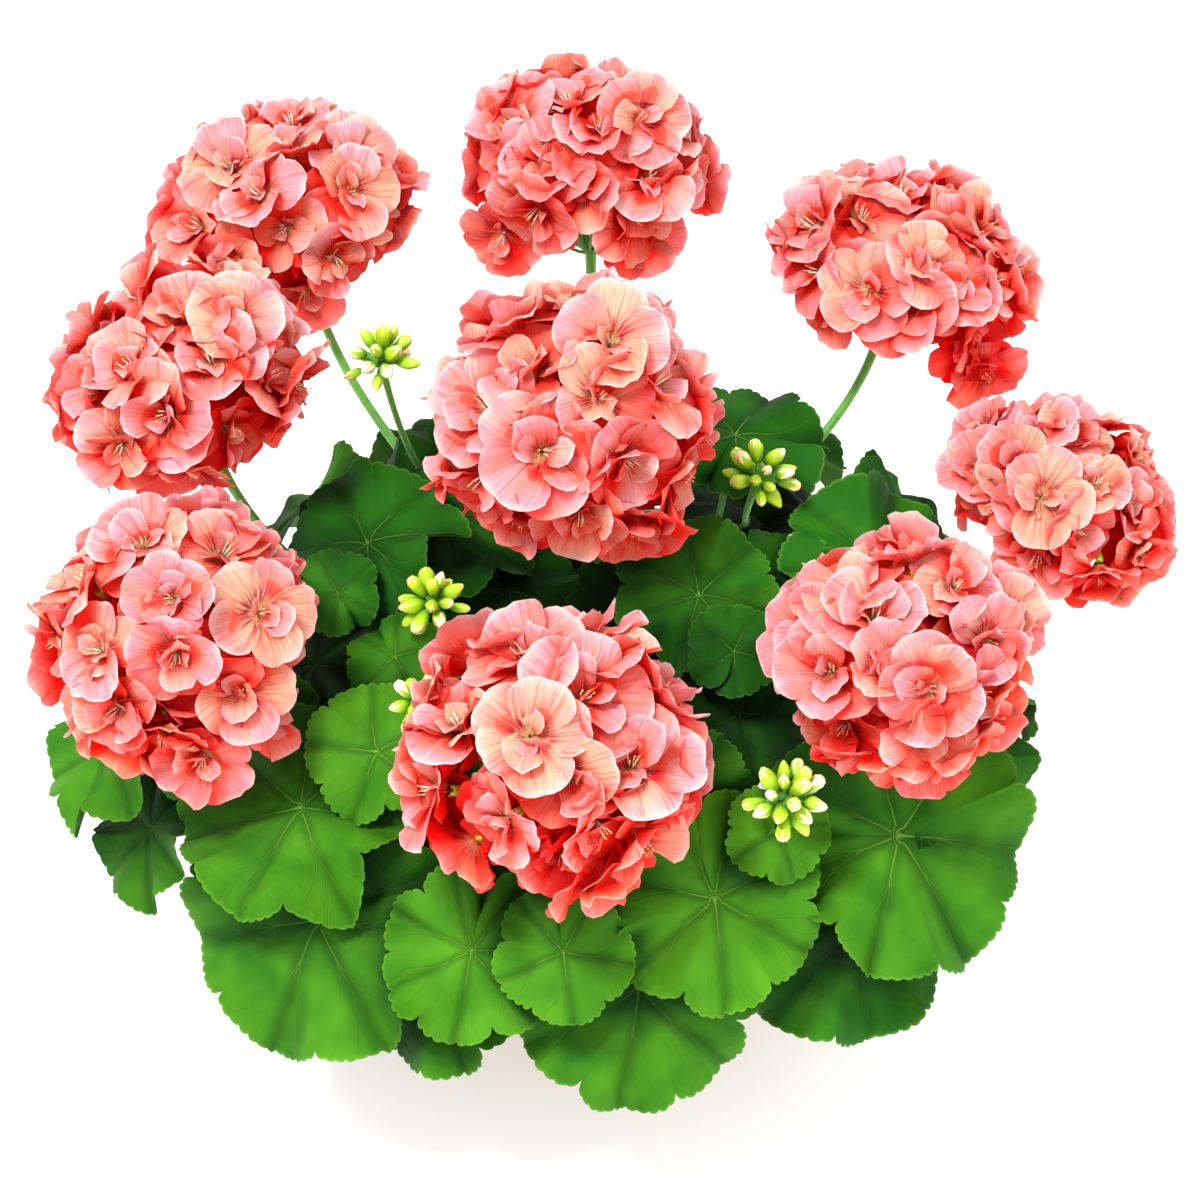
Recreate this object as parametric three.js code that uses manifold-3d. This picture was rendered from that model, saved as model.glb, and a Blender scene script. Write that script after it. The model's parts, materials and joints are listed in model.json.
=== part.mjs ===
// Zonal geranium in a plain clay pot. Millimetres, Z up.
// The origin lies on the surface that the pot stands on, under the middle of the pot.
import * as THREE from 'three';
import { mergeVertices } from 'three/addons/utils/BufferGeometryUtils.js';
import Module from 'manifold-3d';

const wasm = await Module();
wasm.setup();

// Pot and soil
const potHeight = 128;
const potBaseRadius = 48;
const potRimRadius = 75;
const potWall = 5.5;
const potFloor = 9;
const rimBandHeight = 30;
const rimBandProud = 3.5;
const potSides = 18;
const drainHoleRadius = 5;
const drainRingRadius = 25;
const drainHoles = 4;
const drainHoleSides = 8;
const rimBandStep = 2;
const soilLevel = 116;
const soilCrown = 3;
const soilGap = 0.3;
const stalkGap = 0.3;
const stemFootLevel = soilLevel + soilCrown + 1;

// Stems and stalks. A lean is the outward run for each unit of rise where a stalk sets off.
const stemRadius = 4.2;
const stemSides = 5;
const stemSteps = 4;
const stemRootDepth = 22;
const stemHoleMargin = 0.6;
const stemLean = 0.8;
const crownRingRadius = 25;
const petioleRadius = 1.5;
const petioleSides = 3;
const petioleSteps = 3;
const petioleLean = 0.7;
const petioleInset = 1.6;
const lowestPetiole = 0.45;
const petioleSpan = 0.5;
const peduncleRadius = 2.2;
const peduncleSides = 4;
const budStalkRadius = 1.6;
const flowerStalkLean = 1.2;
const flowerStalkNode = 0.97;
const flowerStalkSteps = 5;
const bendReach = 0.38;

// Leaf blades
const bladeThickness = 0.8;
const grownBladeRadius = 27;
const grownLobes = 7;
const youngLobes = 5;
const pointsPerLobe = 3;
const sinusHalfAngle = THREE.MathUtils.degToRad(14);
const lobeDepth = 0.05;
const backLobeShortening = 0.14;
const pleatDepth = 0.05;
const bladeDroop = 0.1;
const bladeSectors = 3;
const bladeMiddle = 0.35;

// Flower heads
const floretsPerHead = 11;
const petalsPerFloret = 5;
const floretReach = 0.45;
const floretSeat = 0.93;
const floretSizeSpread = 0.1;
const throatDepth = 0.2;
const bowlReach = 0.52;
const bowlRise = 0.13;
const petalFrill = 0.14;
const floretNeck = 0.16;
const floretNeckDepth = 0.3;
const floretRootDepth = 1.1;
const neckSides = 3;
const coreShare = 0.79;
const coreSides = 7;
const coreFootRadius = 5;
const headFootDepth = 0.92;
const umbelEdge = THREE.MathUtils.degToRad(122);

// Rim of one petal, as [turn within its slice, reach, rise] in slices and floret radii
const petalRim = [
  [-0.5, 0.8, -0.16],
  [-0.25, 1, 0],
  [0.25, 1, -0.08],
];

// Bud clusters
const budLength = 9.5;
const budRadius = 2.9;
const budSides = 4;
const budWidest = 0.45;
const budFan = 1.15;
const pedicelRadius = 0.9;
const pedicelRoot = 1.5;
const budSeatRadius = 2.6;
const budSeatHeight = 3;
const budSeatSides = 5;

const up = new THREE.Vector3(0, 0, 1);
const goldenTurn = Math.PI * (3 - Math.sqrt(5));
const part = new THREE.Group();

function paint(color, roughness) {
  return new THREE.MeshStandardMaterial({ color, roughness, metalness: 0 });
}

function seededDraw(seed) {
  let state = seed * 7919 + 13;
  return () => {
    state = (state * 16807) % 2147483647;
    return state / 2147483647;
  };
}

// Solids from closed geometry, joined and cut

function solidOf(geometry) {
  const bare = geometry.clone();
  bare.deleteAttribute('normal');
  bare.deleteAttribute('uv');
  const merged = mergeVertices(bare, 1e-4);
  return new wasm.Manifold(new wasm.Mesh({
    numProp: 3,
    vertProperties: new Float32Array(merged.attributes.position.array),
    triVerts: new Uint32Array(merged.index.array),
  }));
}

function joined(geometries) {
  return geometries.map(solidOf).reduce((whole, piece) => whole.add(piece));
}

function addMesh(name, solid, material) {
  const { vertProperties, triVerts } = solid.getMesh();
  const geometry = new THREE.BufferGeometry();
  geometry.setAttribute('position', new THREE.BufferAttribute(vertProperties, 3));
  geometry.setIndex(new THREE.BufferAttribute(triVerts, 1));
  geometry.computeVertexNormals();
  const mesh = new THREE.Mesh(geometry, material);
  mesh.name = name;
  part.add(mesh);
}

function closedSurface(points, triangles) {
  const geometry = new THREE.BufferGeometry();
  geometry.setAttribute('position', new THREE.Float32BufferAttribute(points.flatMap((p) => p.toArray()), 3));
  geometry.setIndex(triangles.flat());
  return geometry;
}

function tube(curve, radius, sides, steps) {
  const section = new THREE.Shape();
  section.moveTo(radius, 0);
  for (let i = 1; i < sides; i += 1) {
    const corner = around((2 * Math.PI * i) / sides, radius, 0);
    section.lineTo(corner.x, corner.y);
  }
  section.closePath();
  return new THREE.ExtrudeGeometry(section, { steps, extrudePath: curve, bevelEnabled: false });
}

function uprightLathe(profile, sides) {
  const geometry = new THREE.LatheGeometry(profile.map(([r, z]) => new THREE.Vector2(r, z)), sides);
  geometry.rotateX(Math.PI / 2);
  return geometry;
}

function uprightRod(x, y, low, high, radius, sides) {
  const geometry = new THREE.CylinderGeometry(radius, radius, high - low, sides);
  geometry.rotateX(Math.PI / 2);
  geometry.translate(x, y, (low + high) / 2);
  return geometry;
}

// A frame whose Z is the given direction and whose X leans towards a second one
function frameAt(origin, axis, lean) {
  const z = axis.clone().normalize();
  const y = new THREE.Vector3().crossVectors(z, lean).normalize();
  const x = new THREE.Vector3().crossVectors(y, z);
  return new THREE.Matrix4().makeBasis(x, y, z).setPosition(origin);
}

function around(angle, radius, z) {
  return new THREE.Vector3(radius * Math.cos(angle), radius * Math.sin(angle), z);
}

function polar(azimuth, radius, z) {
  return around(THREE.MathUtils.degToRad(azimuth), radius, z);
}

// Pot: a tapered wall with a rim band, a flat floor and drain holes round its middle

function wallRadius(z) {
  return THREE.MathUtils.lerp(potBaseRadius, potRimRadius - rimBandProud, z / potHeight);
}

const bandFoot = potHeight - rimBandHeight;
const bandFootRadius = wallRadius(bandFoot) + rimBandProud;
const potProfile = [
  [0, 0],
  [potBaseRadius, 0],
  [wallRadius(bandFoot), bandFoot],
  [bandFootRadius, bandFoot + rimBandStep],
  [potRimRadius, potHeight],
  [wallRadius(potHeight) - potWall, potHeight],
  [wallRadius(potFloor) - potWall, potFloor],
  [0, potFloor],
];
let pot = solidOf(uprightLathe(potProfile, potSides));
for (let i = 0; i < drainHoles; i += 1) {
  const place = polar((360 * (i + 0.5)) / drainHoles, drainRingRadius, 0);
  const hole = uprightRod(place.x, place.y, -1, potFloor + 1, drainHoleRadius, drainHoleSides);
  pot = pot.subtract(solidOf(hole));
}
addMesh('pot', pot, paint(0xb5653f, 0.85));

// Layout of the shoots, in millimetres and degrees. Each stem rises from the ring that it stands on
// to its top, at its reach from the middle of the pot.
// A leaf is [x, y, z of the petiole's top, radius, way it faces, tilt of its face from level,
// turn of its tip from straight downhill, wave of its edge].
// Heads and bud clusters lean outwards from the middle of the plant by their own angle.
const shoots = [
  {
    name: 'front', azimuth: -90, ring: crownRingRadius, reach: 66, top: 156,
    leaves: [
      [-13, -180, 169, 25, -95, 50, 10, 2],
      [14, -172, 140, 45, -85, 60, -10, 4],
      [-46, -171, 160, 33, -100, 50, -5, 3],
      [-36, -94, 180, 30, -95, 30, 0, 3],
    ],
    head: { centre: [-16, -155, 241], width: 52, height: 44, lean: 18 },
  },
  {
    name: 'front_right', azimuth: -45, ring: crownRingRadius, reach: 74, top: 158,
    leaves: [
      [41, -161, 176, 40, -80, 50, 0, 4],
      [110, -125, 172, 54, -55, 42, 62, 5],
      [93, -143, 143, 45, -65, 60, 0, 4],
      [52, -89, 200, 26, -75, 35, 0, 3],
      [28, -132, 197, 30, -85, 40, -25, 3],
      [63, -148, 198, 19, -75, 45, 10, 3],
      [94, -90, 152, 29, -60, 35, -100, 3],
    ],
    head: { centre: [107, -112, 248], width: 46, height: 39, lean: 20 },
    buds: { centre: [65, -152, 217], spread: 15, count: 7, lean: 25 },
  },
  {
    name: 'right', azimuth: 0, ring: crownRingRadius, reach: 78, top: 160,
    leaves: [
      [110, -26, 215, 42, -25, 25, 110, 4],
      [134, 30, 182, 27, 5, 35, 40, 3],
      [163, 12, 141, 36, 5, 58, 0, 4],
      [148, -52, 144, 36, -20, 60, 20, 4],
    ],
    head: { centre: [177, -5, 236], width: 45, height: 32, lean: 25 },
    buds: { centre: [163, -24, 207], spread: 10, count: 2, lean: 60 },
  },
  {
    name: 'back_right', azimuth: 45, ring: crownRingRadius, reach: 72, top: 160,
    leaves: [
      [54, 38, 235, 38, 10, 10, 55, 4],
      [76, 146, 154, 38, 62, 55, 10, 4],
      [138, 94, 150, 36, 33, 55, -10, 4],
      [88, 44, 190, 33, 20, 25, 0, 3],
    ],
    head: { centre: [122, 105, 272], width: 55, height: 34, lean: 15 },
    buds: { centre: [61, 0, 241], spread: 16, count: 7, lean: 15 },
  },
  {
    name: 'back', azimuth: 90, ring: crownRingRadius, reach: 70, top: 160,
    leaves: [
      [5, 150, 168, 40, 90, 50, 0, 4],
      [12, 50, 180, 31, 75, 25, 20, 3],
      [-30, 166, 116, 32, 100, 70, 0, 4],
      [42, 164, 118, 33, 80, 70, 0, 4],
    ],
    head: { centre: [-4, 125, 304], width: 51, height: 41, lean: 8 },
  },
  {
    name: 'back_left', azimuth: 135, ring: crownRingRadius, reach: 72, top: 160,
    leaves: [
      [-90, -16, 223, 38, -155, 20, -95, 4],
      [-88, 34, 206, 35, 170, 20, -70, 3],
      [-62, 4, 214, 35, -100, 12, 80, 3],
      [-99, -46, 222, 17, -110, 35, -135, 2],
      [-72, 136, 160, 39, 118, 52, -10, 4],
      [-130, 98, 150, 36, 145, 56, 10, 4],
      [-42, 94, 206, 33, 125, 30, -20, 3],
    ],
    head: { centre: [-126, 120, 289], width: 51, height: 38, lean: 15 },
    buds: { centre: [-85, 35, 271], spread: 13, count: 5, lean: 10 },
  },
  {
    name: 'left', azimuth: 180, ring: crownRingRadius, reach: 76, top: 156,
    leaves: [
      [-192, -43, 143, 38, -165, 40, -20, 3],
      [-178, -66, 117, 32, -155, 50, -15, 3],
      [-77, -66, 208, 19, -110, 30, 45, 3],
      [-166, 24, 148, 34, 170, 56, 0, 4],
      [-112, -34, 176, 30, -150, 25, 20, 3],
    ],
    head: { centre: [-159, 15, 277], width: 52, height: 40, lean: 15 },
    buds: { centre: [-62, -62, 230], spread: 14, count: 5, lean: 20 },
  },
  {
    name: 'front_left', azimuth: -135, ring: crownRingRadius, reach: 76, top: 156,
    leaves: [
      [-104, -145, 148, 53, -123, 50, -60, 5],
      [-61, -164, 135, 32, -105, 62, -25, 3],
      [-110, -120, 182, 45, -130, 25, -45, 4],
      [-139, -75, 173, 38, -135, 45, -45, 4],
      [-84, -112, 142, 33, -120, 38, -25, 3],
      [-81, -116, 206, 26, -105, 40, -85, 3],
    ],
    head: { centre: [-152, -92, 240], width: 48, height: 49, lean: 20 },
    buds: { centre: [-66, -112, 226], spread: 9, count: 3, lean: 20 },
  },
  {
    name: 'middle', azimuth: 0, ring: 0, reach: 6, top: 176,
    leaves: [
      [37, -56, 230, 32, -75, 25, 175, 3],
      [49, -85, 227, 18, -80, 35, 145, 3],
      [16, -34, 204, 29, -80, 20, -150, 3],
      [60, -42, 215, 35, -55, 20, 125, 3],
      [-36, -12, 196, 31, -100, 12, 20, 3],
    ],
    head: { centre: [-10, -32, 291], width: 51, height: 52, lean: 8 },
  },
];

// Leaf blade: a lobed fan round the petiole, pleated along its veins and waved at its edge
function bladeGeometry(radius, wave, phase) {
  const lobes = radius > grownBladeRadius ? grownLobes : youngLobes;
  const steps = lobes * pointsPerLobe;
  const spot = (share, step) => {
    const side = (2 * step) / steps - 1;
    const angle = side * (Math.PI - sinusHalfAngle);
    const notch = step % pointsPerLobe === 0 ? 1 : -0.5;
    const reach = share * radius * (1 - backLobeShortening * side ** 2 - lobeDepth * notch);
    const ripple = wave * Math.sin(3 * angle + phase);
    return around(angle, reach, share ** 2 * (radius * (pleatDepth * notch - bladeDroop) + ripple));
  };
  const upper = [new THREE.Vector3(0, 0, 0)];
  for (let sector = 0; sector <= bladeSectors; sector += 1) {
    upper.push(spot(bladeMiddle, (sector * steps) / bladeSectors));
  }
  const rimStart = upper.length;
  for (let step = 0; step <= steps; step += 1) upper.push(spot(1, step));
  const faces = [];
  const stepsInSector = steps / bladeSectors;
  for (let sector = 0; sector < bladeSectors; sector += 1) {
    const inner = 1 + sector;
    const first = rimStart + sector * stepsInSector;
    const turn = Math.ceil(stepsInSector / 2);
    faces.push([0, inner, inner + 1], [inner, first + turn, inner + 1]);
    for (let i = 0; i < stepsInSector; i += 1) {
      faces.push([i < turn ? inner : inner + 1, first + i, first + i + 1]);
    }
  }
  return slab(upper, faces);
}

// Closes an open surface into a slab: the same triangles below it, and a wall along its free edges
function slab(upper, faces) {
  const count = upper.length;
  const lower = upper.map((p) => p.clone().setZ(p.z - bladeThickness));
  const triangles = [];
  const edges = new Set(faces.flatMap(([a, b, c]) => [`${a},${b}`, `${b},${c}`, `${c},${a}`]));
  for (const [a, b, c] of faces) {
    triangles.push([a, b, c], [a + count, c + count, b + count]);
    for (const [from, to] of [[a, b], [b, c], [c, a]]) {
      if (!edges.has(`${to},${from}`)) {
        triangles.push([from + count, to + count, to], [from + count, to, from]);
      }
    }
  }
  return closedSurface([...upper, ...lower], triangles);
}

// Axes of a leaf: its face, and the way that its tip points
function leafAxes(face, tilt, turn) {
  const out = polar(face, 1, 0);
  const lean = THREE.MathUtils.degToRad(tilt);
  const spin = THREE.MathUtils.degToRad(turn);
  const normal = out.clone().multiplyScalar(Math.sin(lean)).addScaledVector(up, Math.cos(lean));
  const downhill = out.clone().multiplyScalar(Math.cos(lean)).addScaledVector(up, -Math.sin(lean));
  const side = new THREE.Vector3().crossVectors(normal, downhill);
  const tip = downhill.multiplyScalar(Math.cos(spin)).addScaledVector(side, Math.sin(spin));
  return { normal, tip };
}

// A stalk from one point to another that leaves and arrives in set directions
function bend(from, leave, to, arrive) {
  const handle = from.distanceTo(to) * bendReach;
  return new THREE.CubicBezierCurve3(
    from,
    from.clone().addScaledVector(leave, handle),
    to.clone().addScaledVector(arrive, -handle),
    to,
  );
}

// The axis of a head or a bud cluster, and the middle of its foot
function umbelAxis(umbel) {
  const outward = new THREE.Vector3(umbel.centre[0], umbel.centre[1], 0).normalize();
  const lean = THREE.MathUtils.degToRad(umbel.lean);
  return outward.multiplyScalar(Math.sin(lean)).addScaledVector(up, Math.cos(lean));
}

function umbelFoot(umbel, depth) {
  return new THREE.Vector3(...umbel.centre).addScaledVector(umbelAxis(umbel), -depth);
}

// Leafy stem: root, stem, petioles, blades and the stalks of its flowers, grown together
function shootPieces(shoot, index) {
  const draw = seededDraw(index + 1);
  const foot = polar(shoot.azimuth, shoot.ring, stemFootLevel);
  const top = polar(shoot.azimuth, shoot.reach, shoot.top);
  const outward = polar(shoot.azimuth, shoot.ring > 0 ? 1 : 0, 0);
  const rise = up.clone().addScaledVector(outward, stemLean).normalize();
  const stalkRise = up.clone().addScaledVector(outward, flowerStalkLean).normalize();
  const stem = bend(foot, up, top, rise);
  const pieces = [
    uprightRod(foot.x, foot.y, soilLevel - stemRootDepth, stemFootLevel + 1, stemRadius, stemSides),
    tube(stem, stemRadius, stemSides, stemSteps),
  ];
  shoot.leaves.forEach(([x, y, z, radius, face, tilt, turn, wave], i) => {
    const end = new THREE.Vector3(x, y, z);
    const { normal, tip } = leafAxes(face, tilt, turn);
    const node = stem.getPointAt(lowestPetiole + (petioleSpan * i) / shoot.leaves.length);
    const away = end.clone().sub(node).setZ(0).normalize();
    const leave = up.clone().addScaledVector(away, petioleLean).normalize();
    const seat = end.clone().addScaledVector(tip, petioleInset).addScaledVector(normal, -bladeThickness / 2);
    pieces.push(tube(bend(node, leave, seat, normal), petioleRadius, petioleSides, petioleSteps));
    const blade = bladeGeometry(radius, wave, draw() * 2 * Math.PI);
    blade.applyMatrix4(frameAt(end, normal, tip));
    pieces.push(blade);
  });
  const stalks = [[shoot.head, headFootDepth * shoot.head.height, peduncleRadius, peduncleSides]];
  if (shoot.buds) stalks.push([shoot.buds, budSeatHeight, budStalkRadius, petioleSides]);
  for (const [umbel, depth, radius, sides] of stalks) {
    const end = umbelFoot(umbel, depth + stalkGap);
    const stalk = bend(stem.getPointAt(flowerStalkNode), stalkRise, end, umbelAxis(umbel));
    pieces.push(tube(stalk, radius, sides, flowerStalkSteps));
  }
  return pieces;
}

// Floret: five rounded petals round a sunken throat, tapering to the umbel behind
function floretGeometry(radius, draw) {
  const points = [new THREE.Vector3(0, 0, -throatDepth * radius)];
  const ringStart = points.length;
  const slice = (2 * Math.PI) / petalsPerFloret;
  for (let i = 0; i < petalsPerFloret; i += 1) {
    points.push(around(slice * i, bowlReach, bowlRise).multiplyScalar(radius));
  }
  const rimStart = points.length;
  for (let i = 0; i < petalsPerFloret; i += 1) {
    for (const [turn, reach, rise] of petalRim) {
      const lift = rise + petalFrill * (draw() - 0.5);
      points.push(around(slice * (i + turn), reach, lift).multiplyScalar(radius));
    }
  }
  const rimCount = petalRim.length * petalsPerFloret;
  const neckStart = points.length;
  for (let i = 0; i < neckSides; i += 1) {
    const angle = (2 * Math.PI * i) / neckSides;
    points.push(around(angle, floretNeck, -floretNeckDepth).multiplyScalar(radius));
  }
  const root = points.length;
  points.push(new THREE.Vector3(0, 0, -floretRootDepth * radius));
  const triangles = [];
  for (let i = 0; i < petalsPerFloret; i += 1) {
    const here = ringStart + i;
    const next = ringStart + ((i + 1) % petalsPerFloret);
    const notch = rimStart + 3 * i;
    const nextNotch = rimStart + ((3 * (i + 1)) % rimCount);
    triangles.push([0, here, next], [here, nextNotch, next]);
    triangles.push([here, notch, notch + 1], [here, notch + 1, notch + 2], [here, notch + 2, nextNotch]);
  }
  const perNeckSide = rimCount / neckSides;
  for (let i = 0; i < rimCount; i += 1) {
    const here = rimStart + i;
    const next = rimStart + ((i + 1) % rimCount);
    const side = Math.floor((i + perNeckSide / 2) / perNeckSide) % neckSides;
    const nextSide = Math.floor((i + 1 + perNeckSide / 2) / perNeckSide) % neckSides;
    triangles.push([neckStart + side, next, here]);
    if (nextSide !== side) triangles.push([neckStart + side, neckStart + nextSide, next]);
  }
  for (let i = 0; i < neckSides; i += 1) {
    triangles.push([root, neckStart + ((i + 1) % neckSides), neckStart + i]);
  }
  return closedSurface(points, triangles);
}

// Flower head: florets spread evenly over a flattened dome, on a core that stands on the stalk
function headPieces(head, index) {
  const draw = seededDraw(40 + index);
  const width = coreShare * head.width;
  const height = coreShare * head.height;
  const foot = -headFootDepth * head.height;
  const pieces = [uprightLathe([
    [0, foot],
    [coreFootRadius, foot],
    [width * 0.6, -height * 0.75],
    [width, -height * 0.1],
    [width * 0.75, height * 0.65],
    [0, height],
  ], coreSides)];
  const meanRadius = (2 * head.width + head.height) / 3;
  for (let i = 0; i < floretsPerHead; i += 1) {
    const level = 1 - ((i + 0.5) / floretsPerHead) * (1 - Math.cos(umbelEdge));
    const round = Math.sqrt(1 - level * level);
    const way = around(goldenTurn * i + index, round, level);
    const radius = meanRadius * floretReach * (1 + floretSizeSpread * (draw() - 0.5));
    const seat = new THREE.Vector3(way.x * head.width, way.y * head.width, way.z * head.height);
    seat.multiplyScalar(floretSeat);
    const outward = new THREE.Vector3(way.x / head.width, way.y / head.width, way.z / head.height);
    const floret = floretGeometry(radius, draw);
    floret.rotateZ(draw() * 2 * Math.PI);
    floret.applyMatrix4(frameAt(seat, outward, new THREE.Vector3(-way.y, way.x, 0.01)));
    pieces.push(floret);
  }
  const place = frameAt(new THREE.Vector3(...head.centre), umbelAxis(head), new THREE.Vector3(1, 0, 0));
  return pieces.map((piece) => piece.applyMatrix4(place));
}

// Bud cluster: closed buds on short pedicels that part from one seat
function budPieces(buds, index) {
  const draw = seededDraw(80 + index);
  const pieces = [uprightLathe([
    [0, -budSeatHeight],
    [budSeatRadius, -budSeatHeight],
    [budSeatRadius, 0],
    [0, 1],
  ], budSeatSides)];
  for (let i = 0; i < buds.count; i += 1) {
    const level = 1 - ((i + 0.4) / buds.count) * budFan;
    const round = Math.sqrt(1 - level * level);
    const way = around(goldenTurn * i, round, level);
    const neck = buds.spread - budLength * (0.75 + 0.35 * draw());
    const bud = uprightLathe([
      [0, -pedicelRoot],
      [pedicelRadius, neck],
      [budRadius, neck + budLength * budWidest],
      [0, neck + budLength],
    ], budSides);
    pieces.push(bud.applyMatrix4(frameAt(new THREE.Vector3(), way, new THREE.Vector3(0.2, 1, 0.1))));
  }
  const place = frameAt(new THREE.Vector3(...buds.centre), umbelAxis(buds), new THREE.Vector3(1, 0, 0));
  return pieces.map((piece) => piece.applyMatrix4(place));
}

shoots.forEach((shoot, index) => {
  addMesh(`leafy_stem_${shoot.name}`, joined(shootPieces(shoot, index)), paint(0x3f8f1f, 0.6));
  addMesh(`flower_head_${shoot.name}`, joined(headPieces(shoot.head, index)), paint(0xf0705c, 0.7));
  if (shoot.buds) {
    addMesh(`bud_cluster_${shoot.name}`, joined(budPieces(shoot.buds, index)), paint(0xa8cc2c, 0.6));
  }
});

// Soil: fills the pot to just under its rim, with a plain hole for each stem

const soilFloor = potFloor + soilGap;
let soil = solidOf(uprightLathe([
  [0, soilFloor],
  [wallRadius(soilFloor) - potWall - soilGap, soilFloor],
  [wallRadius(soilLevel) - potWall - soilGap, soilLevel],
  [wallRadius(soilLevel) * 0.5, soilLevel + soilCrown],
  [0, soilLevel + soilCrown],
], potSides));
for (const shoot of shoots) {
  const foot = polar(shoot.azimuth, shoot.ring, 0);
  const low = soilLevel - stemRootDepth - soilGap;
  const hole = uprightRod(foot.x, foot.y, low, stemFootLevel + 1, stemRadius + stemHoleMargin, stemSides);
  soil = soil.subtract(solidOf(hole));
}
addMesh('potting_soil', soil, paint(0x3a2a1e, 0.95));

export default part;
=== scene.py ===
import json
import math
import bpy
import numpy as np
from mathutils import Matrix
from mathutils.bvhtree import BVHTree

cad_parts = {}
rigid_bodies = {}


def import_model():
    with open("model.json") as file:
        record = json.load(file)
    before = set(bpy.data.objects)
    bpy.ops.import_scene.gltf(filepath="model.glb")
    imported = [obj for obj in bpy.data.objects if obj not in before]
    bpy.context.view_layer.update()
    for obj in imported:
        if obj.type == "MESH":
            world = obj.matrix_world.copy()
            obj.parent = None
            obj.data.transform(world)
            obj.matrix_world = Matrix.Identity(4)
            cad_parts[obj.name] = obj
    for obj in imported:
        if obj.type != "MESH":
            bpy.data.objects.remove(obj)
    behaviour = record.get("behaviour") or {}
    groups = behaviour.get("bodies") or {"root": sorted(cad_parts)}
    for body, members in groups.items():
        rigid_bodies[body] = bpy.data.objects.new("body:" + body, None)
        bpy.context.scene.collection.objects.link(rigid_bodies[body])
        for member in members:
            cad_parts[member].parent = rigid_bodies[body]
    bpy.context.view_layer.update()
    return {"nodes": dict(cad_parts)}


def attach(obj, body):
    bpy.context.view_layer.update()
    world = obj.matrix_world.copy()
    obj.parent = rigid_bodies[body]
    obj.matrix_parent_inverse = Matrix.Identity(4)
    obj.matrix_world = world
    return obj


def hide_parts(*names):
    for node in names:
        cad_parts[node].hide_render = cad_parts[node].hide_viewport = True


# Potted zonal geranium. Sizes are in millimetres until a mesh is made.
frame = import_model()
scene = bpy.context.scene
mm = 0.001
up = np.array([0.0, 0.0, 1.0])
goldenTurn = math.pi * (3 - math.sqrt(5))
nodeFamilies = ("ShaderNode", "GeometryNode", "FunctionNode", "Node")
# settings that many nodes share
ofColours = {"data_type": "RGBA"}
multiplied = {"data_type": "RGBA", "blend_type": "MULTIPLY"}
softly = {"interpolation_type": "SMOOTHSTEP"}


# Small helpers

def unit(v):
    return v / np.linalg.norm(v)


def around(angle, radius, z):
    return np.array([radius * math.cos(angle), radius * math.sin(angle), z])


def polar(azimuth, radius, z):
    return around(math.radians(azimuth), radius, z)


def frameAt(axis, lean):  # columns are x, y and z; z is the axis and x leans towards the second one
    z = unit(axis)
    y = unit(np.cross(z, lean))
    return np.column_stack([np.cross(y, z), y, z])


def turned(axis, angle):
    return np.array(Matrix.Rotation(angle, 3, axis))


def seededDraw(seed):  # the same draws as in the solids
    state = seed * 7919 + 13

    def draw():
        nonlocal state
        state = (state * 16807) % 2147483647
        return state / 2147483647
    return draw


def hexColour(text):  # sRGB hex to linear
    parts = [int(text[i:i + 2], 16) / 255 for i in (1, 3, 5)]
    return tuple(c / 12.92 if c <= 0.04045 else ((c + 0.055) / 1.055) ** 2.4 for c in parts) + (1.0,)


def addNode(tree, kind, settings=None, links=None, stops=None):
    # A kind goes without its family, text for the settings is an operation, and a node in the links
    # stands for its output. A list fills the inputs in order: a map range takes its value, the range
    # it comes from and the range it goes to. A mix takes its share as 0 and two colours as 6 and 7.
    family = next(name for name in nodeFamilies if hasattr(bpy.types, name + kind))
    node = tree.nodes.new(family + kind)
    if isinstance(settings, str):
        settings = {"operation": settings}
    for name, value in (settings or {}).items():
        setattr(node, name, value)
    for key, value in links.items() if isinstance(links, dict) else enumerate(links or []):
        if isinstance(value, bpy.types.Node):
            value = next(socket for socket in value.outputs if socket.enabled)
        if isinstance(value, bpy.types.NodeSocket):
            tree.links.new(value, node.inputs[key])
        else:
            isColour = isinstance(value, str) and value.startswith("#")
            node.inputs[key].default_value = hexColour(value) if isColour else value
    for i, (place, colour) in enumerate(stops or []):
        ramp = node.color_ramp.elements
        stop = ramp[i] if i < 2 else ramp.new(place)
        stop.position = place
        stop.color = hexColour(colour) if isinstance(colour, str) else (colour, colour, colour, 1)
    return node


def newMaterial(name):
    material = bpy.data.materials.new(name)
    material.use_nodes = True
    material.node_tree.nodes.clear()
    return material, material.node_tree


def newTree(name, sockets):
    tree = bpy.data.node_groups.new(name, "GeometryNodeTree")
    tree.interface.new_socket(name="Geometry", in_out="INPUT", socket_type="NodeSocketGeometry")
    for label, kind in sockets.items():
        tree.interface.new_socket(name=label, in_out="INPUT", socket_type="NodeSocket" + kind)
    tree.interface.new_socket(name="Geometry", in_out="OUTPUT", socket_type="NodeSocketGeometry")
    given = tree.nodes.new("NodeGroupInput").outputs
    return tree, {socket.name: socket for socket in given}


def endTree(tree, last, material):
    real = addNode(tree, "RealizeInstances", links=[last])
    finish = addNode(tree, "SetMaterial", links={0: real, "Material": material})
    addNode(tree, "GroupOutput", links=[finish])


def addPiece(name, mesh):
    piece = bpy.data.objects.new(name, mesh)
    scene.collection.objects.link(piece)
    return piece


def readPoints(mesh):
    points = np.empty(len(mesh.vertices) * 3)
    mesh.vertices.foreach_get("co", points)
    return points.reshape(-1, 3)


def readEdges(mesh):
    ends = np.empty(len(mesh.edges) * 2, int)
    mesh.edges.foreach_get("vertices", ends)
    return ends.reshape(-1, 2)


def setOnPoints(mesh, name, kind, values):
    field = "vector" if kind == "FLOAT_VECTOR" else "value"
    mesh.attributes.new(name, kind, "POINT").data.foreach_set(field, np.ravel(values))


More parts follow.
